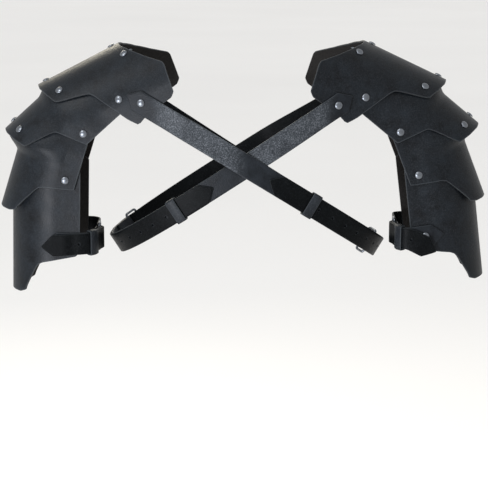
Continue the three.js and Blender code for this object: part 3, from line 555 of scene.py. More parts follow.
def lame_mesh(side, number):
    """Outer grid, inner grid one thickness below it, and a rolled rim between them."""
    reach = PATTERNS[number][-1][0]
    around = fine_at_ends(2 * reach, COLUMN_STEP) - reach
    inner, outer = edge_lines(number, around)
    inner = inner - LONGER.get((side, number), 0)
    share = fine_at_ends(100, ROW_PERCENT) / 100
    along = inner[:, None] + (outer - inner)[:, None] * share
    across = np.broadcast_to(around[:, None], along.shape)
    top = lame_points(side, number, across, along, np.zeros_like(along))
    under = lame_points(side, number, across, along, np.full_like(along, -LAME_THICK))
    columns, rows = along.shape
    ids = np.arange(columns * rows).reshape(columns, rows)
    loop = np.concatenate([ids[:, 0], ids[-1, 1:], ids[-2::-1, -1], ids[0, -2:0:-1]])
    top, under = top.reshape(-1, 3), under.reshape(-1, 3)
    rim_top, rim_under = top[loop], under[loop]
    run = np.roll(rim_top, -1, 0) - np.roll(rim_top, 1, 0)
    side_way = np.cross(run, rim_top - rim_under)
    side_way /= np.linalg.norm(side_way, axis=1)[:, None]
    side_way *= np.sign(((rim_top - top.mean(0)) * side_way).sum())
    rings = [rim_top + (rim_under - rim_top) * depth + side_way * swell for depth, swell in RIM]
    grid = columns * rows
    points = np.concatenate([top, under, *rings])
    count = len(loop)
    inserted = 2 * grid + np.arange(len(RIM) * count).reshape(len(RIM), count)
    ring_ids = [loop, *inserted, loop + grid]
    rim = [np.stack([a, b, np.roll(b, -1), np.roll(a, -1)], 1)
           for a, b in zip(ring_ids, ring_ids[1:])]
    top_faces = grid_faces(columns, rows)
    under_faces = grid_faces(columns, rows, grid)[:, ::-1]
    rim_faces = np.concatenate(rim)
    if np.sign(rim_faces[0, 0] - rim_faces[0, 3]) == np.sign(top_faces[0, 0] - top_faces[0, 1]):
        rim_faces = rim_faces[:, ::-1]
    faces = outward(points, np.concatenate([top_faces, under_faces, rim_faces]))
    numbers = np.repeat([0, 2, 1], [len(top_faces), len(under_faces), len(rim_faces)])
    # edge_mm feeds the pale edge line, partly wear and partly a painted highlight
    length = (outer - inner)[:, None]
    to_border = np.minimum(np.minimum(share * length, (1 - share) * length),
                           (reach - np.abs(around))[:, None]).reshape(-1)
    edge_mm = np.concatenate([to_border, to_border, np.zeros(count * len(RIM))])
    return points, faces, numbers, edge_mm


print("a rim has", len(RIM), "rings between the two faces")

# %% Make the lames
for side in SHOULDERS:
    for number in range(LAMES):
        points, faces, numbers, edge_mm = lame_mesh(side, number)
        node = f"{side}_lame_{number + 1}"
        put_piece(f"{node}_leather", node, points, faces, [plate_leather, cut_edge, flesh_side],
                  numbers, [("edge_mm", edge_mm)])
        print(node, len(faces), "faces")

# %% [markdown]
# ## Rivets
# A rivet holds two or three layers. It is turned round its own axis: a low dome with
# a rolled rim, a neck through the leather and a flat cap on the inside. A UV sphere
# could give the dome, but one profile gives all three parts and closes the piece.
# Its place is a point of the pattern, so it sits square on the leather whatever the
# arch does there. The cap's depth is read from the CAD rivet, whose length already
# fits the layers it goes through.

# %% Rivet shape
# radius, height above the leather
RIVET_HEAD = [(0, 2.05), (0.8, 2.03), (1.6, 1.94), (2.4, 1.76), (3.0, 1.55), (3.5, 1.3),
              (3.9, 1.05), (4.25, 0.75), (4.46, 0.42), (4.44, 0.15), (4.2, 0.03), (1.6, 0.0)]
CAP_THICK = 0.8
RIVET_CAP = [(1.6, 0.0), (3.1, 0.0), (3.4, -0.15), (3.4, -0.6), (3.1, -CAP_THICK), (0, -CAP_THICK)]
HEAD_AIR = 0.3
# any direction that no rivet points in, to start the ring from
ASIDE = [0.3, 0.5, 1.0]


def rivet_mesh(seat, normal, grip, sides=32):
    """The profile (r, h) turned about the normal: seat + normal h + r (u cos a + v sin a)."""
    profile = np.array(RIVET_HEAD + [(r, h - grip) for r, h in RIVET_CAP])
    u = unit(np.cross(normal, ASIDE))
    v = np.cross(normal, u)
    angle = np.linspace(0, 2 * math.pi, sides, endpoint=False)[:, None, None]
    ring = u * np.cos(angle) + v * np.sin(angle)
    points = seat + profile[:, 1][None, :, None] * normal + profile[:, 0][None, :, None] * ring
    rows = len(profile)
    faces = grid_faces(sides, rows, closed=True)
    centre_mm = np.tile(profile[:, 0], sides)
    return points.reshape(-1, 3), outward(points.reshape(-1, 3), faces), centre_mm


def join_doubles(work):
    """Merges the points that meet at a pole."""
    bmesh.ops.remove_doubles(work, verts=work.verts, dist=1e-6)


def put_rivet(node, seat, normal):
    """Head on the seat, and the hidden cap as deep as the CAD rivet's."""
    cad = np.array([v.co for v in frame["nodes"][node].data.vertices]) * 1000
    depth = -((cad - seat) @ normal).min()
    lifted = seat + normal * HEAD_AIR
    points, faces, centre_mm = rivet_mesh(lifted, normal, depth + HEAD_AIR - CAP_THICK)
    piece = put_piece(f"{node}_turned", node, points, faces, [black_nickel],
                      None, [("centre_mm", centre_mm)], 40)
    change_mesh(piece, join_doubles)


print("a rivet has", len(RIVET_HEAD + RIVET_CAP), "rings")

# %% Places of the rivets
# lame, name, around, along
LAME_RIVETS = [
    (0, "neck_middle", 0, -97), (0, "neck_back", 42.1, -110), (0, "neck_front", -42.1, -110),
    (0, "outer_middle", 0, -10.6), (0, "outer_back", 47.1, -24.4),
    (0, "outer_front", -47.1, -24.4), (0, "tab_back", 92.7, -83.5),
    (1, "crown_middle", 0, -13.7), (1, "crown_back", 40, -17.2), (1, "crown_front", -40, -17.2),
    (1, "corner_back", 101, -72.5), (1, "corner_front", -101, -72.5),
    (2, "pivot_back", 101.8, -58.6), (2, "pivot_front", -101.8, -58.6),
]
NORMAL_STEP = 0.05


def lame_seat(side, number, around, along):
    """The point on the leather, and the unit normal there: the cross product of two
    short steps on the surface, turned to the outer side."""
    a = np.array([around, around + NORMAL_STEP, around, around], float)
    b = np.array([along, along, along + NORMAL_STEP, along], float)
    height = np.array([0, 0, 0, 1.0])
    here, next_around, next_along, above = lame_points(side, number, a, b, height)
    normal = unit(np.cross(next_around - here, next_along - here))
    return here, normal * np.sign(normal @ (above - here))


for side in SHOULDERS:
    for number, name, around, along in LAME_RIVETS:
        put_rivet(f"{side}_rivet_{name}", *lame_seat(side, number, around, along))
print("lame rivets", 2 * len(LAME_RIVETS))

# %% [markdown]
# ## Strap paths
# A strap is a ribbon along a path. The path is a smooth curve through a few named
# points. At each place it has a direction along, one across the ribbon and one
# outwards, so a layer of leather is drawn in the plane of distance and height, as a
# harness maker draws a strap from the side. A curve object with a flat bevel would
# be quicker, but it can't carry the folds at a buckle, where the layers part.


# %% Curve and frame
def smooth_curve(knots, samples=1600):
    """Centripetal Catmull-Rom curve: cubics whose end slopes come from the neighbour
    points, with the square roots of the distances between them as its time steps."""
    knots = np.asarray(knots, float)
    p = np.vstack([2 * knots[0] - knots[1], knots, 2 * knots[-1] - knots[-2]])
    t = np.linspace(0, len(knots) - 1, samples)
    i = np.minimum(t.astype(int), len(knots) - 2)
    w = (t - i)[:, None]
    p0, p1, p2, p3 = p[i], p[i + 1], p[i + 2], p[i + 3]
    d0, d1, d2 = (np.linalg.norm(b - a, axis=1)[:, None] ** 0.5 for a, b in
                  ((p0, p1), (p1, p2), (p2, p3)))
    m1 = ((p1 - p0) / d0 - (p2 - p0) / (d0 + d1) + (p2 - p1) / d1) * d1
    m2 = ((p2 - p1) / d1 - (p3 - p1) / (d1 + d2) + (p3 - p2) / d2) * d1
    square = 3 * p2 - 3 * p1 - 2 * m1 - m2
    cube = 2 * p1 - 2 * p2 + m1 + m2
    return p1 + m1 * w + square * w ** 2 + cube * w ** 3


def strap_path(knots, across, centre):
    """Distances, points and the three directions along the curve, as arrays."""
    points = smooth_curve(knots)
    steps = np.linalg.norm(np.diff(points, axis=0), axis=1)
    distance = np.concatenate([[0], np.cumsum(steps)])
    along = unit(np.gradient(points, distance, axis=0))
    wide = across(points, along)
    wide = unit(wide - (wide * along).sum(1)[:, None] * along)
    out = np.cross(along, wide)
    out *= np.sign(((points - centre) * out).sum(1))[:, None]
    return {"distance": distance, "point": points, "along": along, "wide": wide, "out": out,
            "length": distance[-1]}


print("a curve has", len(smooth_curve([(0, 0, 0), (100, 0, 0)])), "samples")


# %% Places on a path
def at(path, key, distance):
    """The named array at any distance, straight on past the two ends."""
    table = path[key]
    values = np.stack([np.interp(distance, path["distance"], table[:, k]) for k in range(3)], -1)
    if key == "point":
        past = distance - np.clip(distance, 0, path["length"])
        values = values + past[..., None] * at(path, "along", distance)
    return values


def place(path, distance, height, offset):
    """point + out * height + wide * offset at a distance along the path."""
    distance, height, offset = np.broadcast_arrays(
        np.asarray(distance, float), np.asarray(height, float), np.asarray(offset, float))
    return (at(path, "point", distance) + at(path, "out", distance) * height[..., None]
            + at(path, "wide", distance) * offset[..., None])


def distance_at_x(path, x, start=0.0):
    """First distance after start, in steps of 0.5 mm, at which the path comes to x."""
    steps = np.arange(start, path["length"], 0.5)
    values = at(path, "point", steps)[:, 0] - x
    return steps[np.argmax(values * values[0] <= 0)]


trial = strap_path([(0, 0, 0), (100, 0, 0)], lambda points, along: np.eye(3)[2:],
                   np.array([0, 9, 0]))
print("30 mm along a trial path and 2 mm up:", place(trial, 30, 2, 0).round(1))

# %% [markdown]
# ## The ribbon
# The strap is 25 mm wide and 2.2 mm thick with rounded edges. Its side view is a
# line of distance, height and half width. The line is made even and a little
# smoother, because leather doesn't fold at a point, and the section is carried
# along it. The two ends are closed with fans of triangles.

# %% Ribbon
STRAP_THICK, STRAP_HALF = 2.2, 12.5
# least half width along the section, so that the tip of a point stays open
LEAST_HALF = 0.15
# inset from the edge, height as a share of half the thickness
SECTION_SIDE = [(0, 0), (0.12, 0.45), (0.42, 0.8), (0.95, 0.98), (2.2, 1.0), (6.0, 1.0)]


def even_line(line, spacing):
    """The line of (distance, height, half) at even steps, averaged over 5 neighbours."""
    line = np.array(line, float)
    run = np.concatenate([[0], np.cumsum(np.hypot(*np.diff(line[:, :2], axis=0).T))])
    count = max(8, round(run[-1] / spacing))
    steps = np.linspace(0, run[-1], count)
    even = np.stack([np.interp(steps, run, line[:, k]) for k in range(3)], -1)
    for _ in range(2):
        padded = np.concatenate([2 * even[:1] - even[2:0:-1], even, 2 * even[-1:] - even[-2:-4:-1]])
        mean = sum(w * padded[k:k + count, :2] for k, w in enumerate((1, 2, 3, 2, 1))) / 9
        even[1:-1, :2] = mean[1:-1]
    return even


def ribbon_mesh(path, line, spacing=1.4):
    """The section set square to the line: distance and height moved by share * T / 2
    along the line's normal, and across the path by the half width less the inset."""
    even = even_line(line, spacing)
    slope = unit(np.gradient(even[:, :2], axis=0))
    square = np.stack([-slope[:, 1], slope[:, 0]], -1)
    top = np.array(SECTION_SIDE, float)
    back = top[:0:-1]
    inset = np.concatenate([top[:, 0], [0], back[:, 0]])
    share = np.concatenate([top[:, 1], [1], back[:, 1]])
    sign = np.concatenate([np.ones(len(top)), [0], -np.ones(len(back))])
    inset = np.concatenate([inset, [0], inset[:0:-1]])[:, None]
    share = np.concatenate([share, [0], -share[:0:-1]])[:, None]
    sign = np.concatenate([sign, [-1], sign[:0:-1]])[:, None]
    width = sign * np.maximum(even[:, 2] - inset, LEAST_HALF)
    lift = share * STRAP_THICK / 2
    points = place(path, even[:, 0] + square[:, 0] * lift, even[:, 1] + square[:, 1] * lift, width)
    sections, stations = points.shape[:2]
    ends = []
    for column in (0, stations - 1):
        ring = np.arange(sections) * stations + column
        centre = np.full(sections, points[..., 0].size + (column > 0))
        fan = np.stack([centre, ring, np.roll(ring, -1)], 1)
        ends.append(fan if column == 0 else fan[:, ::-1])
    middles = points[:, [0, -1]].mean(0)
    run = np.minimum(np.arange(stations), np.arange(stations)[::-1]) * spacing
    # edge_mm feeds the pale edge line, partly wear and partly a painted highlight
    edge_mm = np.minimum(even[:, 2] - np.abs(width), run).reshape(-1)
    return (np.concatenate([points.reshape(-1, 3), middles]),
            grid_faces(sections, stations, closed=True), np.concatenate(ends),
            np.concatenate([edge_mm, [0, 0]]))


print("a section has", 4 * len(SECTION_SIDE), "points")


# %% Put a ribbon in place
# length over which the paler stretch of a strap fades
STRETCH_FADE = 25


def put_ribbon(node, path, line, material, holes=(), rub=None):
    """A strap piece, with its punched holes cut right through. The hide turns to the
    strap's paler tone between the two values of x of the stretch argument."""
    points, faces, ends, edge_mm = ribbon_mesh(path, line)
    pale_mask = np.zeros(len(points))
    if rub is not None:
        x = points[:, 0]
        pale_mask = (smooth_step(x, rub[0], rub[0] + STRETCH_FADE)
                * smooth_step(-x, -rub[1], -rub[1] + STRETCH_FADE))
    piece = put_piece(f"{node}_leather", node, points, outward(points, faces), [material],
                      None, [("edge_mm", edge_mm), ("rub", pale_mask)])

    def close_ends(work):
        """Adds the fans of triangles that close both ends."""
        work.verts.ensure_lookup_table()
        for fan in ends.tolist():
            work.faces.new([work.verts[k] for k in fan]).smooth = True

    change_mesh(piece, close_ends)
    for low, high in holes:
        punch(piece, low, high)


def punch(piece, low, high, radius=1.8, sides=20):
    """Cuts a round hole from low to high, both in millimetres, through the piece."""
    axis = unit(high - low)
    u = unit(np.cross(axis, ASIDE))
    v = np.cross(axis, u)
    angle = np.linspace(0, 2 * math.pi, sides, endpoint=False)[:, None]
    ring = (u * np.cos(angle) + v * np.sin(angle)) * radius
    points = np.concatenate([low + ring, high + ring]) / 1000
    k = np.arange(sides)
    walls = np.stack([k, (k + 1) % sides, (k + 1) % sides + sides, k + sides], 1).tolist()
    mesh = bpy.data.meshes.new("punch")
    mesh.from_pydata(points.tolist(), [], [k[::-1].tolist(), (k + sides).tolist(), *walls])
    cutter = bpy.data.objects.new("punch", mesh)
    bpy.context.scene.collection.objects.link(cutter)
    cut = piece.modifiers.new("hole", "BOOLEAN")
    cut.object = cutter
    cut.operation = "DIFFERENCE"
    cut.solver = "EXACT"
    bpy.context.view_layer.update()
    done = bpy.data.meshes.new_from_object(
        piece.evaluated_get(bpy.context.evaluated_depsgraph_get()))
    piece.modifiers.clear()
    piece.data = done
    bpy.data.objects.remove(cutter)


print("a rubbed stretch fades over", STRETCH_FADE, "mm")

# %% [markdown]
# ## Side views at the buckle
# The short strap comes up over the heel bar and folds back on itself. The long one
# comes under the far bar, over the heel bar and lies down on the short one, and its
# point goes through the keeper. Each end is a short list of distances and heights
# from the bar, as a harness maker would sketch it. A cloth simulation could lay the
# layers too, but it would not give the same result each time.

# %% Lines at the buckle
# height of the middle of the lower layer, of the upper one, and of the upper one on
# the short straps, which has a little more air
LOW = STRAP_THICK / 2
HIGH = LOW + STRAP_THICK + AIR
ARM_HIGH = HIGH + 0.4
# buckle: radius and height of the wire, length and half width of the frame, prong
WIRE, BAR_HEIGHT, FRAME_LENGTH, FRAME_HALF, PRONG = 1.5, 4.05, 16, 15.4, 1.2
FOLD = WIRE + AIR + STRAP_THICK / 2
# length of a tongue's point and of a riveted end's point, and half width at its tip
POINT_LENGTH, CUT_LENGTH, TIP_HALF = 13, 12, 0.8
# a fold-back longer than this lies flat for a stretch
SHORT_RETURN = 14


def folded_end(heel, returned):
    """Up to the upper layer, round the bar in a half circle and back underneath."""
    line = [(heel - returned - 18, LOW), (heel - returned - 4, HIGH)]
    if returned > SHORT_RETURN:
        line.append((heel - SHORT_RETURN, HIGH))
    line += [(heel - 9, 4.7), (heel - 4.2, 6.55)]
    for degrees in range(90, -91, -15):
        angle = math.radians(degrees)
        line.append((heel + FOLD * math.cos(angle), BAR_HEIGHT + FOLD * math.sin(angle)))
    line += [(heel - 5, LOW), (heel - returned, LOW)]
    return [(d, h, STRAP_HALF) for d, h in line]


def through_buckle(heel, returned, high):
    """Under the far bar, over the heel bar and down to the upper layer."""
    line = [(heel + 22, LOW), (heel + 15, LOW), (heel + 11.5, 1.6), (heel + 8, 4.0),
            (heel + 5.6, 7.3), (heel + 3, 9.2), (heel, 9.7), (heel - 4.2, 9.35),
            (heel - 9.5, 7.75), (heel - 14.5, 6.45)]
    if returned > SHORT_RETURN:
        line.append((heel - returned - 3, 6.4))
    line.append((heel - returned - 17.5, high + 0.1))
    return [(d, h, STRAP_HALF) for d, h in line]


def cut_start(start, way):
    """A riveted strap end, cut to a short point."""
    return [(start, LOW, TIP_HALF), (start + way * CUT_LENGTH * 0.5, LOW, STRAP_HALF * 0.53),
            (start + way * CUT_LENGTH, LOW, STRAP_HALF)]


def pointed_end(tip, way, height):
    """A strap end cut to a point."""
    return [(tip + way * POINT_LENGTH, height, STRAP_HALF),
            (tip + way * POINT_LENGTH * 0.5, height, STRAP_HALF * 0.55), (tip, height, TIP_HALF)]


print("the upper layer lies", round(HIGH, 2), "mm up, the bar", BAR_HEIGHT, "mm")

# %% [markdown]
# ## Buckle and keeper
# The buckle is a wire rectangle with round corners, and a prong that lies over its
# far bar. A smith bends the wire round a block. Here a ring of points runs along
# the same bent line. The keeper is a narrow leather loop round both layers of
# strap. Both are placed on the strap's own path, so they sit square on it wherever
# it turns, which a copied object with a turn of its own would not.


# %% Tube
# distance from the middle of a cap at which the plating has the wire's tone
WIRE_TONE = 2.9


def wrapped_faces(columns, rows):
    """Quads of a grid that is closed both ways, like a ring."""
    k = np.arange(columns)
    after = (k + 1) % columns
    last = rows - 1
    seam = np.stack([k * rows + last, after * rows + last, after * rows, k * rows], 1)
    return np.concatenate([grid_faces(columns, rows, closed=True), seam])


def tube_mesh(path, s, w, height, radius, closed, sides=14):
    """A ring of the radius at each point (s, w, height), square to the line: s and w
    move by radius * cos along the line's side, and the height by radius * sin."""
    line = np.stack([s, w], -1)
    if closed:
        run = np.roll(line, -1, 0) - np.roll(line, 1, 0)
    else:
        run = np.gradient(line, axis=0)
    run = unit(run)
    angle = np.linspace(0, 2 * math.pi, sides, endpoint=False)
    lean, lift = radius[:, None] * np.cos(angle), radius[:, None] * np.sin(angle)
    points = place(path, s[:, None] - run[:, 1:] * lean, height[:, None] + lift,
                   w[:, None] + run[:, :1] * lean)
    turned = points.transpose(1, 0, 2)
    faces = wrapped_faces(sides, len(s)) if closed else grid_faces(sides, len(s), closed=True)
    return turned.reshape(-1, 3), faces


print("the wire is", 2 * WIRE, "mm thick and the prong", 2 * PRONG, "mm")

# %% Buckle mesh
FRAME_CORNER, CORNER_POINTS = 2.6, 7
# each corner of the frame: end along the strap, side across it, where its bend starts
FRAME_CORNERS = np.array([(0, -1, 180), (1, -1, 270), (1, 1, 0), (0, 1, 90)], float)
# rings of the prong, its length past the frame, and its height above the heel bar
PRONG_RINGS, PRONG_PAST, PRONG_LIFT = 12, 2, 0.3


def close_tubes(work):
    """Merges doubles, then fills the small open ends of the prong."""
    join_doubles(work)
    bmesh.ops.recalc_face_normals(work, faces=work.faces)
    bmesh.ops.holes_fill(work, edges=work.edges, sides=40)


def put_buckle(node, path, heel):
    """A frame of four bends, centre + corner radius * (cos, sin), and a prong whose
    radius is PRONG * sqrt(1 - t^8), so that it tapers only at its ends."""
    end, side_w, start = FRAME_CORNERS.T[:, :, None]
    turn = np.radians(start + np.linspace(0, 90, CORNER_POINTS))
    centre_s = np.where(end == 0, FRAME_CORNER, FRAME_LENGTH - FRAME_CORNER)
    s = (centre_s + FRAME_CORNER * np.cos(turn)).reshape(-1)
    w = (side_w * (FRAME_HALF - FRAME_CORNER) + FRAME_CORNER * np.sin(turn)).reshape(-1)
    frame_points, frame_faces = tube_mesh(path, heel + s, w, np.full(len(s), BAR_HEIGHT),
                                          np.full(len(s), WIRE), True)
    part = np.linspace(0, 1, PRONG_RINGS)
    prong_s = heel + part * (FRAME_LENGTH + PRONG_PAST)
    rise = BAR_HEIGHT + PRONG_LIFT + part * (WIRE + PRONG * 0.75 - PRONG_LIFT)
    radius = PRONG * np.sqrt(np.clip(1 - ((part - 0.5) * 2) ** 8, 0.001, 1))
    prong_points, prong_faces = tube_mesh(path, prong_s, 0 * part, rise, radius, False)
    points = np.concatenate([frame_points, prong_points])
    faces = np.concatenate([outward(frame_points, frame_faces),
                            outward(prong_points, prong_faces) + len(frame_points)])
    piece = put_piece(f"{node}_wire", node, points, faces, [black_nickel], None,
                      [("centre_mm", np.full(len(points), WIRE_TONE))], 60)
    change_mesh(piece, close_tubes)


print("a frame has", len(FRAME_CORNERS) * CORNER_POINTS, "rings")

# %% Keeper mesh
# the last value: how far a keeper turns to the strap's paler tone
KEEPER_WALL, KEEPER_HALF, KEEPER_CORNER, KEEPER_PALE = 1.6, 5.5, 0.4, 0.15
KEEPER_LOW, KEEPER_HIGH = -AIR - 0.2, 2 * STRAP_THICK + 2 * AIR + 0.6
KEEPER_WIDE = STRAP_HALF + 0.45
# across the band: offset as a share of its half length, depth as a share of its wall
KEEPER_SECTION = np.array([
    (-1, 0.15), (-0.93, 0.0), (0.93, 0.0), (1, 0.15), (1.02, 0.5), (1, 0.85), (0.93, 1.0),
    (0, 1.03), (-0.93, 1.0), (-1, 0.85), (-1.02, 0.5)])


def put_keeper(node, path, distance):
    """A rounded rectangle round both layers: the corner reached by the sign of cos and
    sin, and from there a circle of the corner's radius plus the depth in the wall."""
    turn = np.linspace(0, 2 * math.pi, 72, endpoint=False)
    across, upward = np.round(np.cos(turn), 9), np.round(np.sin(turn), 9)
    middle, half_height = (KEEPER_LOW + KEEPER_HIGH) / 2, (KEEPER_HIGH - KEEPER_LOW) / 2
    offset, depth = KEEPER_SECTION.T[:, :, None]
    grow = KEEPER_CORNER + KEEPER_WALL * depth
    w = np.sign(across) * (KEEPER_WIDE - KEEPER_CORNER) + grow * np.cos(turn)
    h = middle + np.sign(upward) * (half_height - KEEPER_CORNER) + grow * np.sin(turn)
    flat = place(path, distance + offset * KEEPER_HALF, h, w).reshape(-1, 3)
    faces = wrapped_faces(len(KEEPER_SECTION), len(turn))
    # edge_mm gives the keeper's sides the pale edge line, partly wear and partly a painted
    # highlight
    edge_mm = np.repeat(np.maximum(0, 1 - np.abs(offset)) * KEEPER_HALF, len(turn))
    put_piece(f"{node}_leather", node, flat, outward(flat, faces), [strap_leather],
              None, [("edge_mm", edge_mm), ("rub", np.full(len(flat), KEEPER_PALE))])


print("a keeper is", 2 * KEEPER_HALF, "mm long and", KEEPER_WALL, "mm thick")


# %% [markdown]
# ## Torso straps
# Each strap starts on the back tab of one top lame, runs down across to the other
# side, turns round there and comes back up to the front tab. The strap is one long
# loop in use, and only its back half is seen in the photograph. Its turn follows a
# superellipse, which is rounder than a box and squarer than an ellipse. The strap of
# the left guard lies on top where they cross. The loop could be drawn as a bezier
# curve, but with a formula its length comes out, and the holes keep their pitch.

# %% Torso path
TOP_RADIUS = 65.7
# the superellipse of the loops: centre, half width, half depth, power
TORSO_X, TORSO_Y, TORSO_HALF_WIDTH, TORSO_HALF_DEPTH, TORSO_POWER = 4.5, 15, 154, 112, 2.4
# back: level of the strap's plane, its slope along x and along y
# the last pair: x from and to, between which the strap is paler
TORSO_STRAPS = {
    "left": {"sign": 1, "lift": STRAP_THICK + AIR + 2.1, "back": (-141.2, -0.609, -0.151),
             "end_x": -131, "rivet_x": -115.3, "front": (-141, -56), "tip_x": 29.5,
             "keeper_x": 77, "hole_x": 84.5, "rub": (-108, 8)},
    "right": {"sign": -1, "lift": 0, "back": (-135.1, 0.651, -0.037),
              "end_x": 123.5, "rivet_x": 108, "front": (139.6, -53.7), "tip_x": -33.5,
              "keeper_x": -75, "hole_x": -86, "rub": (-8, 108)},
}
HOLE_PITCH, TORSO_HOLES, TORSO_RETURN = 20, 11, 30
# two of the holes lie under the buckle, and its heel is a little short of the last
HIDDEN_HOLES, HEEL_SHORT = 2, 3
# the cutter of a hole, from just above the lower layer to above the upper one
HOLE_FROM, TORSO_HOLE_TO, ARM_HOLE_TO = STRAP_THICK + 0.1, 10, 9
# how far the front rivet is from the strap's end, and the knot after the back one
END_TO_RIVET, PAST_RIVET = 14, 8
# half of the length along y over which a strap turns from the back's plane to the front's
TURN_HALF = 45
# distances from the middle at which a strap begins to lie square on its tab, and does
TAB_FROM, TAB_FULL = 45, 90
# knots on the front tab: distance inwards of the rivet, and height above the tab
FRONT_TAB = np.array([(36, 2.2), (18, 0.8), (0, 0.1), (-14, 0)], float)
BACK_ANGLES = [-98, -89, -80, -71, -62, -52, -41, -29, -15, 0]
FRONT_ANGLES = [15, 29, 41, 52, 62, 71, 80, 89, 98]


def torso_xy(strap, degrees):
    """x = X + sign A |cos|^(2/n), y = Y + B |sin|^(2/n), with the signs of cos and sin."""
    angle = np.radians(np.asarray(degrees, float))
    c, s = np.cos(angle), np.sin(angle)
    x = TORSO_X + strap["sign"] * TORSO_HALF_WIDTH * np.sign(c) * np.abs(c) ** (2 / TORSO_POWER)
    depth = TORSO_HALF_DEPTH + strap["lift"]
    return np.stack([x, TORSO_Y + depth * np.sign(s) * np.abs(s) ** (2 / TORSO_POWER)], -1)


def tab_y(x):
    """The outer face of the top lame's tab, with a little air."""
    return TOP_RADIUS * widening(np.asarray(x, float)) + AIR


def torso_path(strap):
    """Knots on the back tab, round the body and on the front tab, in two tilted planes."""
    level, by_x, by_y = strap["back"]
    sign = strap["sign"]
    side_x, side_y = torso_xy(strap, 0)
    side_z = level + by_x * side_x + by_y * side_y
    end_x, end_z = strap["front"]
    end_y = tab_y(end_x)
    slope = (end_z - side_z - by_y * (end_y - side_y)) / (end_x - side_x)
    rivet_x = strap["rivet_x"]
    tab_x = np.array([strap["end_x"], rivet_x, rivet_x + sign * PAST_RIVET], float)
    back = np.concatenate([np.stack([tab_x, -tab_y(tab_x)], -1), torso_xy(strap, BACK_ANGLES)])
    inwards = end_x + sign * FRONT_TAB[:, 0]
    front_tab = np.stack([inwards, tab_y(inwards) + FRONT_TAB[:, 1]], -1)
    front = np.concatenate([torso_xy(strap, FRONT_ANGLES), front_tab])
    back_z = level + by_x * back[:, 0] + by_y * back[:, 1]
    front_z = side_z + slope * (front[:, 0] - side_x) + by_y * (front[:, 1] - side_y)
    knots = np.concatenate([np.column_stack([back, back_z]), np.column_stack([front, front_z])])
    back_wide = unit(np.array([-by_x, -by_y, 1.0]))
    front_wide = unit(np.array([-slope, -by_y, 1.0]))

    def across(points, along):
        """Square to the strap's plane, which turns from the back's to the front's. On a
        tab it is the cross product of the tab's normal and the way along."""
        x, y = points[:, 0], points[:, 1]
        part = smooth_step(y, side_y - TURN_HALF, side_y + TURN_HALF)[:, None]
        wide = unit(back_wide * (1 - part) + front_wide * part)
        bend = 2 * WIDEN_RATE * (WIDEN_FROM - np.abs(x)) * np.sign(x)
        face = np.stack([TOP_RADIUS * bend, np.sign(y - side_y), 0 * x], -1)
        on_tab = unit(np.cross(face, along))
        on_tab *= np.sign(on_tab[:, 2:])
        near = smooth_step(-x * sign, TAB_FROM, TAB_FULL)[:, None]
        return unit(wide * (1 - near) + on_tab * near)

    return strap_path(knots, across, np.array([TORSO_X, TORSO_Y, side_z]))


print("back tab's face at the left rivet: y", -tab_y(TORSO_STRAPS["left"]["rivet_x"]).round(1))

# %% Make the torso straps
for side, strap in TORSO_STRAPS.items():
    path = torso_path(strap)
    tip = distance_at_x(path, strap["tip_x"])
    first_hole = distance_at_x(path, strap["hole_x"])
    heel = first_hole + HOLE_PITCH * (TORSO_HOLES - 1) - HEEL_SHORT
    short_line = cut_start(0, 1) + folded_end(heel, TORSO_RETURN)
    put_ribbon(f"{side}_torso_strap_back", path, short_line, strap_leather,
               rub=strap["rub"])
    long_line = (cut_start(path["length"], -1) + through_buckle(heel, TORSO_RETURN, HIGH)
                 + pointed_end(tip, 1, HIGH))
    hole_places = first_hole + np.arange(TORSO_HOLES - HIDDEN_HOLES) * HOLE_PITCH
    holes = list(zip(place(path, hole_places, HOLE_FROM, 0),
                     place(path, hole_places, TORSO_HOLE_TO, 0)))
    put_ribbon(f"{side}_torso_strap_front", path, long_line, tongue_leather,
               holes)
    put_buckle(f"{side}_torso_buckle", path, heel)
    put_keeper(f"{side}_torso_keeper", path, distance_at_x(path, strap["keeper_x"]))
    for name, distance in (("strap_back", distance_at_x(path, strap["rivet_x"])),
                           ("strap_front", path["length"] - END_TO_RIVET)):
        put_rivet(f"{side}_rivet_{name}", place(path, distance, STRAP_THICK, 0),
                  unit(at(path, "out", np.array(distance))))
    print(side, "torso strap path", round(path["length"]), "mm, buckle at", round(heel),
          "tongue tip at", round(tip))

# %% [markdown]
# ## Arm straps
# The short strap is riveted to the back of the lowest lame and carries the buckle
# on its inner side. The long one comes from the front, through the buckle, and its
# tongue lies on the back of the lame. The right tongue droops, because its end isn't
# tucked into anything, so its path has a slope of its own. The same ribbon, buckle
# and keeper serve again, as they would from one maker's box.

# %% Arm paths
# outer face of the lowest lame's straight legs
LEG_FACE = 56.5 + AIR
ARM_RETURN, ARM_HEEL_Y = 12, -14
# distance from the buckle's return to its keeper, and from hole to hole
ARM_KEEPER, ARM_PITCH = 24, HOLE_PITCH * 1.15
# x at which the tongue leaves the lower layer and at which it is over the rivet's
# head, its height there, and x of the front strap's end and of its rivet
CLEAR_X, OVER_X, OVER_RIVET, FRONT_END_X, FRONT_RIVET_X = 197, 206, 6.0, 229, 213
# x of the leg's outer knots, and how far outside the corner the next one is
LEG_KNOTS, CORNER_KNOT = [252, 232], 16
# turns round the corner in degrees, and the knots after it: x inwards, y
CORNER_TURNS, INNER_KNOTS = [0, 30, 60, 85], [(0.5, 24), (0.8, 0)]
# outside the inner side: where a slope begins, and where the search for the heel does
SLOPE_FROM, HEEL_SEARCH = 8, 6
ARM_MIDDLE = 225
ARM_STRAPS = {
    "left": {"sign": -1, "inner": 176, "leg_x": 189.5, "level": -225, "tip_x": 234.3,
             "short_tip_x": 229, "rivet_x": 211, "rise": 0, "fall": 0.06, "hole_x": 191},
    "right": {"sign": 1, "inner": 184.5, "leg_x": 194.5, "level": -219, "tip_x": 224,
              "short_tip_x": 233, "rivet_x": 211.9, "rise": 0.14, "fall": 0.47, "hole_x": 195.5},
}


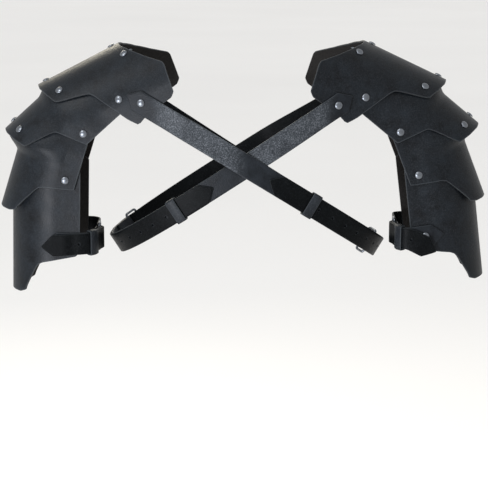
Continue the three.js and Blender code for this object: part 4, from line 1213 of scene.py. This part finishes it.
def arm_path(strap, slope):
    """Along the back leg of the lame, round a quarter circle to its inner side and
    back along the front leg. On the back the height changes by slope per millimetre."""
    sign, inner, leg_x, level = (strap[k] for k in ("sign", "inner", "leg_x", "level"))
    corner = leg_x - inner
    angle = np.radians(CORNER_TURNS)
    leg = [*LEG_KNOTS, leg_x + CORNER_KNOT]
    inwards, inner_y = np.transpose(INNER_KNOTS)
    x = np.concatenate([leg, leg_x - corner * np.sin(angle), inner - inwards])
    y = np.concatenate([np.full(len(leg), LEG_FACE), LEG_FACE - corner * (1 - np.cos(angle)),
                        inner_y])
    height = level + slope * np.maximum(0, x - (inner + SLOPE_FROM))
    back = np.stack([sign * x, -y, height], -1)
    front = np.stack([sign * x, y, np.full_like(x, level)], -1)[:-1][::-1]

    def across(points, along):
        """Straight up, all along the strap."""
        return np.broadcast_to([0.0, 0, 1], points.shape)

    centre = np.array([sign * ARM_MIDDLE, 0, level])
    return strap_path(np.concatenate([back, front]), across, centre)


def heel_on(strap, path):
    """Distance of the buckle's heel bar: the first place past the corner at its y."""
    start = distance_at_x(path, strap["sign"] * (strap["inner"] + HEEL_SEARCH))
    steps = np.arange(start, path["length"], 0.25)
    return steps[np.argmax(at(path, "point", steps)[:, 1] >= ARM_HEEL_Y)]


print("a leg's face lies at y", -LEG_FACE, "and", LEG_FACE, "mm")

# %% Make the arm straps
for side, strap in ARM_STRAPS.items():
    sign = strap["sign"]
    base = arm_path(strap, strap["rise"])
    over = arm_path(strap, -strap["fall"])
    heel, long_heel = heel_on(strap, base), heel_on(strap, over)
    short_tip = distance_at_x(base, sign * strap["short_tip_x"])
    short_line = pointed_end(short_tip, 1, LOW)[::-1] + folded_end(heel, ARM_RETURN)
    put_ribbon(f"{side}_arm_strap_back", base, short_line, strap_leather)
    tip = distance_at_x(over, sign * strap["tip_x"])
    front_end = over["length"] - distance_at_x(over, sign * FRONT_END_X)
    rise = [(distance_at_x(over, sign * CLEAR_X), ARM_HIGH, STRAP_HALF),
            (distance_at_x(over, sign * OVER_X), OVER_RIVET, STRAP_HALF)]
    long_line = (cut_start(front_end, -1) + through_buckle(long_heel, ARM_RETURN, ARM_HIGH)
                 + rise + pointed_end(tip, 1, OVER_RIVET))
    hole_places = distance_at_x(over, sign * strap["hole_x"]) + np.arange(2) * ARM_PITCH
    holes = list(zip(place(over, hole_places, HOLE_FROM, 0),
                     place(over, hole_places, ARM_HOLE_TO, 0)))
    put_ribbon(f"{side}_arm_strap_front", over, long_line, tongue_leather, holes)
    put_buckle(f"{side}_arm_buckle", base, heel)
    put_keeper(f"{side}_arm_keeper", base, heel - ARM_RETURN - ARM_KEEPER)
    for name, path, distance in (
            ("arm_back", base, distance_at_x(base, sign * strap["rivet_x"])),
            ("arm_front", over, over["length"] - distance_at_x(over, sign * FRONT_RIVET_X))):
        put_rivet(f"{side}_rivet_{name}", place(path, distance, STRAP_THICK, 0),
                  unit(at(path, "out", np.array(distance))))
    print(side, "arm strap path", round(base["length"]), "mm, short tip at", round(short_tip),
          "buckle at", round(heel), "tongue tip at", round(tip), "front end at", round(front_end))
